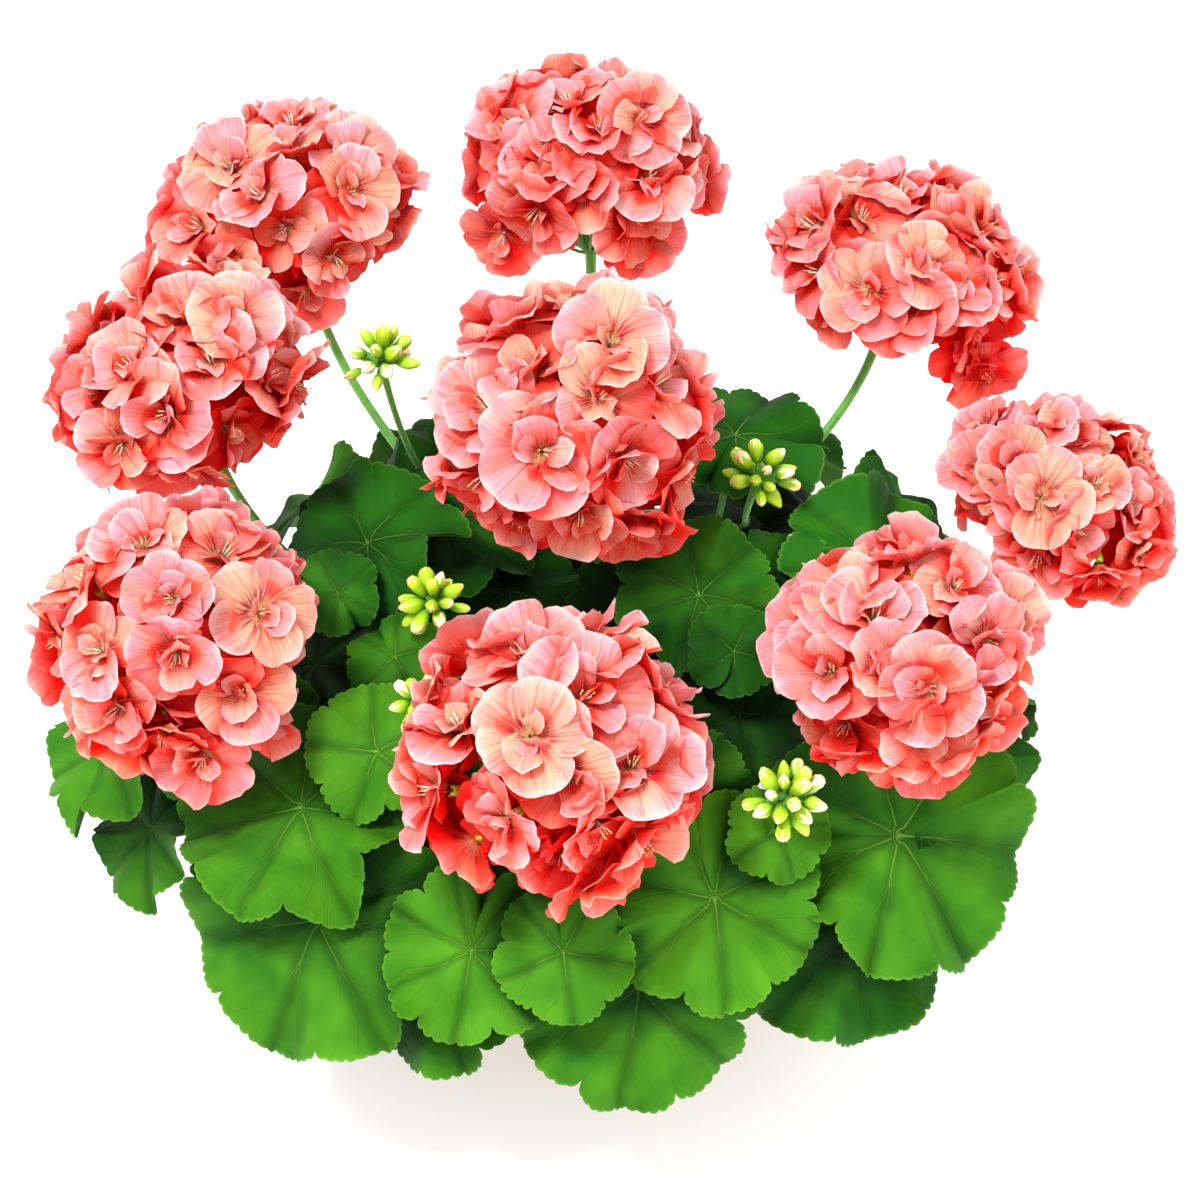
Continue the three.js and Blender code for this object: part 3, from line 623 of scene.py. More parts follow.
hair = addNode(stalkTree, "MeshCone", links={"Vertices": 3, "Radius Top": 0.01 * mm,
    "Radius Bottom": 0.08 * mm, "Depth": given["Hair length"]})
grow = addNode(stalkTree, "RandomValue", {"data_type": "FLOAT"},
    {"Min": 0.5, "Max": 1.1, "Seed": given["Seed"]})
hairs = addNode(stalkTree, "InstanceOnPoints", links={"Points": roots, "Instance": hair,
    "Rotation": roots.outputs["Rotation"], "Scale": grow.outputs["Value"]})
joined = addNode(stalkTree, "JoinGeometry", links=[hairs])
stalkTree.links.new(smooth.outputs[0], joined.inputs[0])
endTree(stalkTree, joined, given["Material"])

# Scatter: puts one of a set of forms at each point, turned and sized as the point says
scatterTree, given = newTree("scatterForms", {"Forms": "Collection", "Material": "Material"})
forms = addNode(scatterTree, "CollectionInfo", links={"Collection": given["Forms"],
    "Separate Children": True, "Reset Children": True})
which = addNode(scatterTree, "InputNamedAttribute", {"data_type": "INT"}, {"Name": "form"})
turn = addNode(scatterTree, "InputNamedAttribute", {"data_type": "FLOAT_VECTOR"}, {"Name": "turn"})
size = addNode(scatterTree, "InputNamedAttribute", {"data_type": "FLOAT_VECTOR"}, {"Name": "size"})
rotation = addNode(scatterTree, "EulerToRotation", links=[turn.outputs["Attribute"]])
copies = addNode(scatterTree, "InstanceOnPoints", links={"Points": given["Geometry"], "Instance": forms,
    "Pick Instance": True, "Instance Index": which.outputs["Attribute"], "Rotation": rotation,
    "Scale": size.outputs["Attribute"]})
endTree(scatterTree, copies, given["Material"])

# Crumbs: lumps of soil strewn over the faces that look up
crumbTree, given = newTree("strewnCrumbs", {
    "Forms": "Collection", "Crumbs per m2": "Float", "Seed": "Int", "Material": "Material"})
facing = addNode(crumbTree, "InputNormal")
rising = addNode(crumbTree, "SeparateXYZ", links=[facing])
topOnly = addNode(crumbTree, "Compare", {"data_type": "FLOAT", "operation": "GREATER_THAN"},
    [rising.outputs[2], 0.6])
strewn = addNode(crumbTree, "DistributePointsOnFaces",
    links={"Mesh": given["Geometry"], "Selection": topOnly, "Density": given["Crumbs per m2"],
    "Seed": given["Seed"]})
forms = addNode(crumbTree, "CollectionInfo", links={"Collection": given["Forms"],
    "Separate Children": True, "Reset Children": True})
anyForm = addNode(crumbTree, "RandomValue", {"data_type": "INT"},
    {"Min": 0, "Max": 3, "Seed": given["Seed"]})
anyTurn = addNode(crumbTree, "RandomValue", {"data_type": "FLOAT_VECTOR"},
    {"Min": (0, 0, 0), "Max": (6.28, 6.28, 6.28), "Seed": given["Seed"]})
anySize = addNode(crumbTree, "RandomValue", {"data_type": "FLOAT"},
    {"Min": 0.35, "Max": 1.0, "Seed": given["Seed"]})
tumbled = addNode(crumbTree, "EulerToRotation", links=[anyTurn.outputs["Value"]])
crumbs = addNode(crumbTree, "InstanceOnPoints", links={"Points": strewn, "Instance": forms,
    "Pick Instance": True, "Instance Index": anyForm.outputs["Value"], "Rotation": tumbled,
    "Scale": anySize.outputs["Value"]})
joined = addNode(crumbTree, "JoinGeometry", links=[crumbs])
crumbTree.links.new(given["Geometry"], joined.inputs[0])
endTree(crumbTree, joined, given["Material"])


def stalkMesh(name, paths):  # a path is its points and the radius at each
    points, edges, radii = [], [], []
    for line, thickness in paths:
        edges += [(len(points) + i, len(points) + i + 1) for i in range(len(line) - 1)]
        points += (np.asarray(line) * mm).tolist()
        radii += (np.asarray(thickness) * mm).tolist()
    mesh = bpy.data.meshes.new(name)
    mesh.from_pydata(points, edges, [])
    setOnPoints(mesh, "thick", "FLOAT", radii)
    return mesh


def scatterMesh(name, spots):  # a spot is a point, a turning matrix, a size, a form and a tone
    mesh = bpy.data.meshes.new(name)
    mesh.from_pydata([(np.asarray(spot[0]) * mm).tolist() for spot in spots], [], [])
    turns = [tuple(Matrix(np.asarray(spot[1]).tolist()).to_euler()) for spot in spots]
    setOnPoints(mesh, "turn", "FLOAT_VECTOR", turns)
    setOnPoints(mesh, "size", "FLOAT_VECTOR", [np.ones(3) * spot[2] * mm for spot in spots])
    setOnPoints(mesh, "form", "INT", [spot[3] for spot in spots])
    setOnPoints(mesh, "tone", "FLOAT", [spot[4] for spot in spots])
    return mesh


def stalksPiece(name, paths, shape, seed):
    return runTree(name, stalkMesh(f"{name}Paths", paths), stalkTree, {
        "Sides": shape["sides"], "Hairs per m2": shape["hairsPerM2"], "Seed": seed,
        "Hair length": shape["hairLength"] * mm, "Material": stalkMaterial})


def scatterPiece(name, spots, forms, material):
    return runTree(name, scatterMesh(f"{name}Spots", spots), scatterTree, {
        "Forms": forms, "Material": material})


def collectForms(name, parts, uvName):  # forms are sized for a length of 1, so they skip the mm
    collection = bpy.data.collections.new(name)
    for i, part in enumerate(parts):
        label = f"{name}{i:02d}"
        mesh = meshOf(label, [dict(part, points=part["points"] / mm)], uvName)
        collection.objects.link(bpy.data.objects.new(label, mesh))
    return collection


def bendPoints(start, leave, end, arrive, count):
    handle = np.linalg.norm(end - start) * 0.38
    t = np.linspace(0, 1, count)[:, None]
    near = start + leave * handle
    far = end - arrive * handle
    return (1 - t) ** 3 * start + 3 * (1 - t) ** 2 * t * near + 3 * (1 - t) * t * t * far + t ** 3 * end


def pointAlong(line, share):  # by length, not by parameter
    steps = np.linalg.norm(np.diff(line, axis=0), axis=1)
    lengths = np.concatenate([[0], np.cumsum(steps)])
    return np.array([np.interp(share * lengths[-1], lengths, line[:, k]) for k in range(3)])


# How much of the sky each point sees

def markOpen(mesh, solid, outward, rays, more=0.0):  # writes it as the attribute open, from 0 to 1
    points = readPoints(mesh)
    ends = readEdges(mesh)
    side = np.cross(outward, [0.3, 0.5, 0.8])
    side /= np.linalg.norm(side, axis=1)[:, None]
    other = np.cross(outward, side)
    seen = np.zeros(len(points))
    for k in range(rays["count"]):
        lean = math.tan(math.radians(rays["spread"])) * math.sqrt(k / rays["count"])
        turn = goldenTurn * k
        way = outward + lean * (math.cos(turn) * side + math.sin(turn) * other)
        way /= np.linalg.norm(way, axis=1)[:, None]
        starts = (points + way * rays["lift"] * mm).tolist()
        seen += [solid.ray_cast(start, to, rays["reach"] * mm)[0] is None
                 for start, to in zip(starts, way.tolist())]
    seen /= rays["count"]
    for _ in range(rays["smoothing"]):
        total, near = np.zeros(len(points)), np.zeros(len(points))
        for a, b in ((0, 1), (1, 0)):
            np.add.at(total, ends[:, a], seen[ends[:, b]])
            np.add.at(near, ends[:, a], 1)
        seen = 0.4 * seen + 0.6 * total / np.maximum(near, 1)
    setOnPoints(mesh, "open", "FLOAT", np.clip(seen + more, 0, 1))


def solidOf(meshes):
    points, faces = [], []
    for mesh in meshes:
        start = len(points)
        points += [tuple(vertex.co) for vertex in mesh.vertices]
        faces += [tuple(i + start for i in face.vertices) for face in mesh.polygons]
    return BVHTree.FromPolygons(points, faces)


# Leaves and stalks

# sinus is half the angle of the slit, a ripple is its waves round the blade and their height, and a ring
# is its share of the radius and the steps from one point to the next
leafShape = {
    "lobes": (5, 7), "bigFrom": 27, "sinus": (-14, 0), "backLobes": 0.12, "lobeDepth": 0.105,
    "toothWidth": 3.3, "toothDepth": 0.9, "toothSpread": (0.4, 1.5), "notchSpread": (0.6, 1.5),
    "cornerFrom": 0.91, "cornerTrim": 0.28, "lapLift": 0.14,
    "pleat": 0.2, "droop": 0.1, "funnel": 0.9, "middleThickness": 0.8, "edgeThickness": 0.4,
    "ripples": [(1, 0.04), (2, 0.06), (3, 0.05), (5, 0.04), (9, 0.022), (14, 0.018)],
    "rings": [(0.07, 4), (0.18, 4), (0.3, 4), (0.42, 4), (0.54, 2), (0.66, 2), (0.77, 2),
              (0.87, 1), (0.95, 1), (1.0, 1)],
}


def leafBlade(radius, wave, phase, tone, chance):
    c = leafShape
    lobes = c["lobes"][radius > c["bigFrom"]]
    edgeLength = 5.8 * radius
    teeth = max(5, round(edgeLength / (c["toothWidth"] * lobes)))
    fine = lobes * teeth * 4
    sinus = chance.uniform(*c["sinus"])  # below 0 the two back lobes overlap
    deeper = chance.uniform(*c["toothSpread"], lobes * teeth + 1)
    depths = chance.uniform(*c["notchSpread"], lobes + 1)
    ripples = [(k, size * radius, chance.uniform(0, 2 * math.pi)) for k, size in c["ripples"]]
    points = [np.array([[0, 0, -c["funnel"]]])]
    uvs = [np.array([[lobes / 16, 0]])]
    thickness = [np.array([c["middleThickness"]])]
    rings, faces, start = [], [], 1
    for share, stride in c["rings"]:
        steps = np.arange(0, fine + 1, stride)
        lobe = steps / fine * lobes
        side = 2 * steps / fine - 1
        angle = side * (math.pi - math.radians(sinus))
        notch = 1.5 * (1 - np.abs(np.sin(np.pi * lobe)) ** 0.55) - 0.5
        tooth = (np.abs(np.sin(np.pi * lobe * teeth)) ** 0.7 - 0.6) * deeper[steps // 4]
        corner = np.clip((np.abs(side) - c["cornerFrom"]) / (1 - c["cornerFrom"]), 0, 1) ** 2
        notchDepth = c["lobeDepth"] * depths[np.minimum(lobes, np.round(lobe)).astype(int)]
        reach = share * radius * (1 - c["backLobes"] * side ** 2 - notchDepth * notch * share
                                  - c["cornerTrim"] * corner * share)
        reach = reach + share ** 14 * c["toothDepth"] * tooth
        fold = np.abs(2 * (lobe % 1) - 1)
        # level from the last vein to the slit, so that the lobe that laps over lies on the other
        fold = fold * (1 - np.clip((np.abs(side) - 1 + 1 / lobes) * lobes, 0, 1) ** 0.5)
        pleat = 1.5 * (0.35 * fold + 0.65 * np.sin(np.pi / 2 * fold) ** 1.3) - 0.5
        lift = share ** 2 * (radius * (c["pleat"] * pleat - c["droop"]) + wave * np.sin(3 * angle + phase))
        for k, size, shift in ripples:
            lift = lift + share ** (1.5 if k < 3 else 3) * size * np.sin(k * angle + shift)
        lift = lift - c["funnel"] * math.exp(-(share / 0.12) ** 2)
        lift = lift + (8 - sinus) * c["lapLift"] * side ** 9 * share
        points.append(np.column_stack([reach * np.cos(angle), reach * np.sin(angle), lift]))
        uvs.append(np.column_stack([lobe / 8, np.full(len(lobe), share)]))
        thin = c["middleThickness"] + share * (c["edgeThickness"] - c["middleThickness"])
        thickness.append(np.full(len(lobe), thin))
        rings.append((start, len(steps)))
        start += len(steps)
    first, count = rings[0]
    faces += [(0, first + i, first + i + 1) for i in range(count - 1)]
    for (a, countA), (b, countB) in zip(rings, rings[1:]):
        for i in range(countA - 1):
            if countA == countB:
                faces.append((a + i, b + i, b + i + 1, a + i + 1))
            else:
                faces += [(a + i, b + 2 * i, b + 2 * i + 1), (a + i, b + 2 * i + 1, a + i + 1),
                          (a + i + 1, b + 2 * i + 1, b + 2 * i + 2)]
    upper = np.vstack(points)
    lower = upper - np.column_stack([np.zeros((start, 2)), np.concatenate(thickness)])
    # the same faces below, and a wall along the free edges
    edges = {(face[i - 1], face[i]) for face in faces for i in range(len(face))}
    free = [(p, q) for p, q in sorted(edges) if (q, p) not in edges]
    walls = [(q, p, p + start, q + start) for p, q in free]
    below = [tuple(i + start for i in reversed(face)) for face in faces]
    return {
        "points": np.vstack([upper, lower]), "faces": faces + below + walls,
        "uv": np.vstack(uvs * 2), "sharp": free + [(p + start, q + start) for p, q in free],
        "floats": {"tone": np.full(2 * start, tone), "under": np.repeat([0.0, 1.0], start)},
    }


def seatLeaf(leaf, phase, chance):  # the blade in its place, its middle, and where its stalk ends and how
    x, y, z, radius, face, tilt, turnBy, wave = leaf
    middle = np.array([x, y, z], float)
    out = polar(face, 1, 0)
    lean, spin = math.radians(tilt), math.radians(turnBy)
    normal = out * math.sin(lean) + up * math.cos(lean)
    downhill = out * math.cos(lean) - up * math.sin(lean)
    tip = downhill * math.cos(spin) + np.cross(normal, downhill) * math.sin(spin)
    # painted light: leaves further out from the middle get a lighter tone, as more light falls on the
    # outside of the bush
    tone = 0.45 * min(1, math.hypot(x, y) / 190) + chance.uniform(-0.05, 0.2)  # outer ones are lighter
    part = leafBlade(radius, wave, phase, tone, chance)
    part["points"] = part["points"] @ frameAt(normal, tip).T + middle
    return part, middle, middle + tip * 1.2 - normal * 1.1, normal


def flared(radius, count, foot, end, power):  # a stalk's radii, thicker at its foot and at its end
    t = np.linspace(0, 1, count)
    return radius * (1 + foot * np.exp(-t * 9) + end * t ** power)


# a flare is how much it adds at the foot, at the end, and how late the one at the end starts
stalkShape = {
    "stem": 4.2, "petiole": 1.45, "peduncle": 1.9, "budStalk": 1.3, "hairsPerM2": 110000.0,
    "hairLength": 1.3, "sides": 10, "footHeight": 120, "firstNode": 0.45, "nodeSpan": 0.5,
    "umbelNode": 0.97, "petioleFlare": (0.45, 0.15, 6), "umbelFlare": (0.3, 0.35, 12),
}
leafRays = {"count": 7, "spread": 55, "reach": 130, "lift": 1.5, "smoothing": 4}
bladePieces = []
rng = np.random.default_rng(7)
for index, shoot in enumerate(shoots):
    draw = seededDraw(index + 1)
    foot = polar(shoot["azimuth"], shoot["ring"], stalkShape["footHeight"])
    top = polar(shoot["azimuth"], shoot["reach"], shoot["top"])
    outward = polar(shoot["azimuth"], 1 if shoot["ring"] > 0 else 0, 0)
    stemEnd = unit(up + 0.8 * outward)
    stalkRise = unit(up + 1.2 * outward)
    stem = bendPoints(foot, up, top, stemEnd, 200)
    blades, paths, nodes = [], [], []
    leaves = shoot["leaves"] + shoot.get("inner", [])
    for i, leaf in enumerate(leaves):
        part, middle, seat, normal = seatLeaf(leaf, draw() * 2 * math.pi, rng)
        blades.append(part)
        share = stalkShape["firstNode"] + stalkShape["nodeSpan"] * i / len(shoot["leaves"])
        node = pointAlong(stem, share)
        nodes.append(node)
        away = (middle - node) * [1, 1, 0]
        line = bendPoints(node, unit(up + 0.7 * unit(away)), seat, normal, 16)
        paths.append((line, flared(stalkShape["petiole"], 16, *stalkShape["petioleFlare"])))
    stemLine = np.vstack([foot - up * 14, foot - up * 5, stem[::10], stem[-1:]])
    nearNode = np.array([min(np.linalg.norm(p - node) for node in nodes) for p in stemLine])
    stemThick = stalkShape["stem"] * (1 + 0.12 * np.exp(-(nearNode / 3) ** 2))
    stemThick[-3:] *= [0.95, 0.8, 0.45]
    paths.append((stemLine, stemThick))
    umbels = [(shoot["head"], headFoot * shoot["head"]["height"] - 1.0, stalkShape["peduncle"])]
    if "buds" in shoot:
        umbels.append((shoot["buds"], 2.3, stalkShape["budStalk"]))
    for umbel, depthBelow, radius in umbels:
        axis = umbelAxis(umbel)
        end = np.array(umbel["centre"], float) - axis * depthBelow
        line = bendPoints(pointAlong(stem, stalkShape["umbelNode"]), stalkRise, end, axis, 22)
        paths.append((line, flared(radius, 22, *stalkShape["umbelFlare"])))
    name = shoot["name"]
    piece = addPiece(f"leaf_blades_{name}", meshOf("leafBlades", blades, "VeinMap", leafMaterial))
    bladePieces.append(piece)
    place(piece, f"leafy_stem_{name}", "foliage")
    piece = stalksPiece(f"stalks_{name}", paths, stalkShape, index)
    place(piece, f"leafy_stem_{name}", "foliage")
# leaves shade each other, and the heads shade them
shades = [piece.data for piece in bladePieces]
shades += [node.data for name, node in frame["nodes"].items() if name.startswith("flower_head")]
allLeaves = solidOf(shades)
for piece in bladePieces:
    markOpen(piece.data, allLeaves, np.tile([0.0, -0.35, 1.0], (len(piece.data.vertices), 1)), leafRays)
print("leaves and stalks ready")


# Flower heads

# outline and thickness of every petal, as shares of its width and length and of the floret's radius
petalCut = {"neck": 0.13, "flatTip": 0.56, "notch": 0.035, "notchWidth": 0.25, "thickness": 0.014}
# a petal's middle line leaves the throat at one angle and ends at another; lengths are in floret radii
petalShapes = [
    # length, width, rise, flat, cup, frill, twist, columns, rows
    (1.06, 1.00, 46, -14, 0.12, 0.050, 0.05, 12, 3),
    (1.02, 1.06, 42, 0, 0.20, 0.060, -0.06, 12, 3),
    (1.10, 0.98, 52, -26, 0.06, 0.065, 0.08, 12, 3),
    (1.00, 1.04, 44, 8, -0.14, 0.075, -0.04, 12, 3),
    (1.04, 1.12, 50, -6, 0.28, 0.055, 0.00, 12, 3),
    (0.98, 0.96, 48, 16, 0.14, 0.085, 0.10, 12, 3),
    (0.70, 0.66, 66, 20, 0.30, 0.080, 0.14, 8, 3),
    (0.78, 0.74, 60, 10, 0.40, 0.090, -0.14, 8, 3),
    (0.66, 0.60, 62, 30, -0.34, 0.095, 0.10, 8, 3),
    (0.80, 0.70, 70, 24, 0.24, 0.100, -0.10, 8, 3),
    (0.46, 0.44, 74, 34, 0.40, 0.090, 0.12, 5, 3),
    (0.52, 0.40, 70, 22, 0.35, 0.080, -0.12, 5, 3),
    (0.42, 0.36, 76, 40, -0.30, 0.100, 0.06, 5, 3),
]


def petalForm(length, width, riseBy, flat, cup, frill, twist, columns, rows, chance):
    u, v = np.meshgrid(np.sin(np.linspace(-0.5, 0.5, columns + 1) * math.pi),
                       np.linspace(0, 1, rows + 1) ** 0.85)
    c = petalCut
    half = width / 2 * (c["neck"] + (1 - c["neck"]) * np.sin(np.pi / 2 * v) ** 1.1)
    along = v * (c["flatTip"] + (1 - c["flatTip"]) * np.sqrt(1 - (0.995 * u) ** 2))
    along = along - c["notch"] * np.exp(-(u / c["notchWidth"]) ** 2) * v ** 6
    s = np.linspace(0, 1, 60)  # finely stepped, to add up the bent middle line
    blend = s ** 0.62
    lean = np.radians(riseBy * (1 - blend) + flat * blend)
    out = np.concatenate([[0], np.cumsum(np.cos(lean))[:-1]]) * length / 60
    lift = np.concatenate([[0], np.cumsum(np.sin(lean))[:-1]]) * length / 60
    p1, p2, p3 = chance.uniform(0, 2 * math.pi, 3)
    bulge = cup * u ** 2 * v ** 0.8 * width / 2 + twist * u * v
    wave = 0.6 * np.sin(math.pi * 1.4 * u + p1) + 0.5 * np.sin(math.pi * 2.7 * u + p2)
    bulge = bulge + frill * v ** 2 * wave
    bulge = bulge + frill * 0.7 * u ** 2 * np.sin(2 * math.pi * v * 1.1 + p3 * np.sign(u))
    leanHere = np.interp(along, s, lean)
    x = np.interp(along, s, out) - np.sin(leanHere) * bulge
    z = np.interp(along, s, lift) + np.cos(leanHere) * bulge
    upper = np.stack([x, u * half, z], axis=-1).reshape(-1, 3)
    index = np.arange(len(upper)).reshape(rows + 1, columns + 1)
    lowerIndex = index.copy()
    inner = index[1:-1, 1:-1]
    lowerIndex[1:-1, 1:-1] = np.arange(inner.size).reshape(inner.shape) + len(upper)
    normal = np.stack([-np.sin(leanHere), np.zeros_like(x), np.cos(leanHere)], axis=-1)[1:-1, 1:-1]
    lower = upper[inner.ravel()] - c["thickness"] * normal.reshape(-1, 3)
    faces = []
    for grid, order in ((index, 1), (lowerIndex, -1)):
        for j in range(rows):
            for i in range(columns):
                quad = (grid[j, i], grid[j + 1, i], grid[j + 1, i + 1], grid[j, i + 1])
                faces.append(tuple(int(k) for k in quad[::order]))
    loop = np.concatenate([index[0], index[1:, -1], index[-1, -2::-1], index[-2:0:-1, 0]])
    uv = np.stack([(u + 1) / 2, v], axis=-1).reshape(-1, 2)
    return {
        "points": np.vstack([upper, lower]), "faces": faces,
        "uv": np.vstack([uv, uv[inner.ravel()]]), "sharp": np.column_stack([loop, np.roll(loop, -1)]),
        "floats": {"under": np.repeat([0.0, 1.0], [len(upper), len(lower)])},
    }


def latheForm(profile, sides, wobble=0.0, points=0.0):  # closed round form on its own axis, low end first
    rings = [np.array([[0, 0, profile[0][1]]])]
    uvs = [np.array([[0, 0]])]
    top = profile[-1][1] - profile[0][1]
    turns = 2 * math.pi * np.arange(sides) / sides
    for k, (radius, z) in enumerate(profile[1:-1]):
        r = radius * (1 + wobble * np.cos(turns * sides / 2))
        lift = z + (points if k == len(profile) - 3 else 0) * (np.arange(sides) % 2)
        rings.append(np.column_stack([r * np.cos(turns), r * np.sin(turns), lift]))
        uvs.append(np.column_stack([np.arange(sides) / sides, np.full(sides, (z - profile[0][1]) / top)]))
    rings.append(np.array([[0, 0, profile[-1][1]]]))
    uvs.append(np.array([[0, 1]]))
    faces = []
    for i in range(sides):
        j = (i + 1) % sides
        faces.append((0, 1 + j, 1 + i))
        for k in range(len(profile) - 3):
            a, b = 1 + k * sides, 1 + (k + 1) * sides
            faces.append((a + i, a + j, b + j, b + i))
        last = 1 + (len(profile) - 3) * sides
        faces.append((last + i, last + j, last + sides))
    return {"points": np.vstack(rings), "faces": faces, "uv": np.vstack(uvs), "sharp": [], "floats": {}}


def stamenForm(chance):  # pale filaments that part, each with a pollen sac
    points, faces, uvs = [], [], []
    for k in range(5):
        way = around(2 * math.pi * k / 5 + chance.uniform(-0.3, 0.3), chance.uniform(0.05, 0.12), 1)
        foot, tip = way * [0.3, 0.3, 0.0], way * [1, 1, chance.uniform(0.3, 0.42)]
        start = len(points)
        for end, thin, v in ((foot, 0.008, 0.0), (tip, 0.006, 0.5)):
            points += [end + around(2 * math.pi * i / 3, thin, 0) for i in range(3)]
            uvs += [[0.5, v]] * 3
        for i in range(3):
            j = (i + 1) % 3
            faces.append((start + i, start + j, start + 3 + j, start + 3 + i))
        faces += [(start + 2, start + 1, start), (start + 3, start + 4, start + 5)]
        start = len(points)
        points += [tip + around(2 * math.pi * i / 4, 0.02, 0.02) for i in range(4)]
        points += [tip + up * -0.01, tip + up * 0.055]
        uvs += [[0.5, 1.0]] * 6
        for i in range(4):
            j = (i + 1) % 4
            faces += [(start + i, start + j, start + 5), (start + j, start + i, start + 4)]
    return {"points": np.array(points), "faces": faces, "uv": np.array(uvs), "sharp": [], "floats": {}}


headShape = {
    "outerFlorets": 26, "innerFlorets": 16, "edge": 124, "seat": 0.93, "floretSize": 0.45,
    "throat": 0.34, "sizeSpread": 0.3, "tilt": 24, "pedicel": 0.75, "innerDepth": 0.68,
    "facingSize": 0.88, "wander": 0.13, "covers": 0.55, "petalTurn": 0.14, "petalPitch": 9, "petalRoll": 10,
    "toneSpread": 0.42, "sides": 6, "hairsPerM2": 0.0, "hairLength": 1.0,
}
# for each kind of floret its whorls: petals, first form, how many forms, turn and height
whorls = {
    "outer": [(5, 0, 6, 0.0, 0), (2, 6, 4, 0.3, 0.03), (2, 10, 3, 0.6, 0.05)],
    "inner": [(5, 0, 6, 0.0, 0), (2, 6, 4, 0.5, 0.03)],
    "open": [(5, 0, 6, 0.0, 0), (1, 6, 4, 0.3, 0.03), (2, 10, 3, 0.6, 0.05)],
}
headRays = {"count": 7, "spread": 50, "reach": 26, "lift": 0.9, "smoothing": 2}
# florets that face the viewer wide open, and ones that hang below their head
# x, y, z, azimuth and elevation of the way they face, radius, tone
looseFlorets = {
    "front": [(-23, -182, 275, -93, 49, 24, 0.7), (-12, -190, 226, -88, -5, 21, 0.3)],
    "front_right": [(112, -149, 266, -90, 39, 22, 0.3), (113, -140, 225, -85, -5, 20, 0.5)],
    "right": [(164, -35, 260, -101, 43, 23, 0.65), (207, -24, 216, -60, -15, 18, 0.3)],
    "back_right": [(105, 58, 289, -102, 31, 23, 0.5), (159, 90, 227, -75, -10, 19, 0.3),
                   (151, 86, 243, -72, 0, 20, 0.5)],
    "back": [(16, 106, 338, -78, 46, 24, 0.6), (-40, 104, 283, -110, -8, 20, 0.2),
             (16, 95, 289, -80, -5, 20, 0.2)],
    "back_left": [(-98, 91, 314, -70, 38, 23, 0.55), (-120, 95, 263, -90, -5, 20, 0.3)],
    "left": [(-135, 4, 313, -69, 50, 23, 0.65)],
    "front_left": [(-118, -110, 267, -58, 41, 23, 0.7), (-142, -130, 214, -95, 0, 20, 0.2)],
    "middle": [(4, -46, 337, -79, 50, 25, 0.65)],
}
rng = np.random.default_rng(21)
petalForms = collectForms("petal", [petalForm(*shape, rng) for shape in petalShapes], "PetalMap")
calyx = latheForm([(0, -0.32), (0.05, -0.31), (0.085, -0.22), (0.09, -0.14), (0.095, -0.1), (0, -0.13)],
                  10, points=0.06)
calyxForms = collectForms("calyx", [calyx], "BudMap")
stamenForms = collectForms("stamen", [stamenForm(rng) for _ in range(3)], "BudMap")


def seatFlorets(head, loose, index, middle, basis, chance):
    # a floret is its seat, the way it faces, its radius, its layer and its tone
    c = headShape
    halves = np.array([head["width"], head["width"], head["height"]], float)
    meanRadius = (2 * head["width"] + head["height"]) / 3
    edge = math.radians(head.get("edge", c["edge"]))
    florets = []
    for layer, count, share in (("outer", c["outerFlorets"], c["seat"]),
                                ("inner", c["innerFlorets"], c["innerDepth"])):
        for i in range(count):
            level = 1 - (i + 0.5) / count * (1 - math.cos(edge))
            way = around(goldenTurn * i + index, math.sqrt(1 - level ** 2), level)
            way = unit(way + chance.uniform(-c["wander"], c["wander"], 3))
            spread = c["sizeSpread"] * chance.uniform(-0.6, 0.4)
            radius = meanRadius * c["floretSize"] * (1 + spread)
            axis = unit(way / halves) + np.radians(c["tilt"]) * chance.uniform(-1, 1, 3)
            seat = way * halves * share * chance.uniform(0.9, 1.03)
            florets.append((seat, unit(axis), radius, layer, chance.uniform(0.05, 0.75)))
    for x, y, z, azimuth, elevation, radius, tone in loose:
        seat = (np.array([x, y, z]) - middle) @ basis
        rise = math.radians(elevation)
        faces = polar(azimuth, math.cos(rise), math.sin(rise)) @ basis
        # an open floret takes the place of the one that it would cover
        florets = [floret for floret in florets
                   if floret[3] != "outer" or np.linalg.norm(floret[0] - seat) >= c["covers"] * radius]
        scale = c["facingSize"] if elevation > 20 else 1.0
        florets.append((seat + faces * 2, faces, radius * scale, "open", tone))
    return florets


def floretPetals(layer, radius, tone, chance):  # about the floret's own axis, from its throat
    c = headShape
    petals = []
    for petalCount, firstForm, formCount, shift, liftBy in whorls[layer]:
        for k in range(petalCount):
            angle = 2 * math.pi * (k + shift) / petalCount + chance.uniform(-c["petalTurn"], c["petalTurn"])
            pitch = math.radians(chance.uniform(-c["petalPitch"], c["petalPitch"]))
            roll = math.radians(chance.uniform(-c["petalRoll"], c["petalRoll"]))
            way = turned("Z", angle) @ turned("Y", pitch) @ turned("X", roll)
            spot = around(angle, 0.03, liftBy + 0.02 * (k % 2)) * radius
            length = radius * chance.uniform(0.94, 1.06)
            form = firstForm + int(chance.integers(formCount))
            petalTone = min(1, max(0, tone + chance.uniform(-c["toneSpread"], c["toneSpread"])))
            petals.append((spot, way, length, form, petalTone))
    return petals


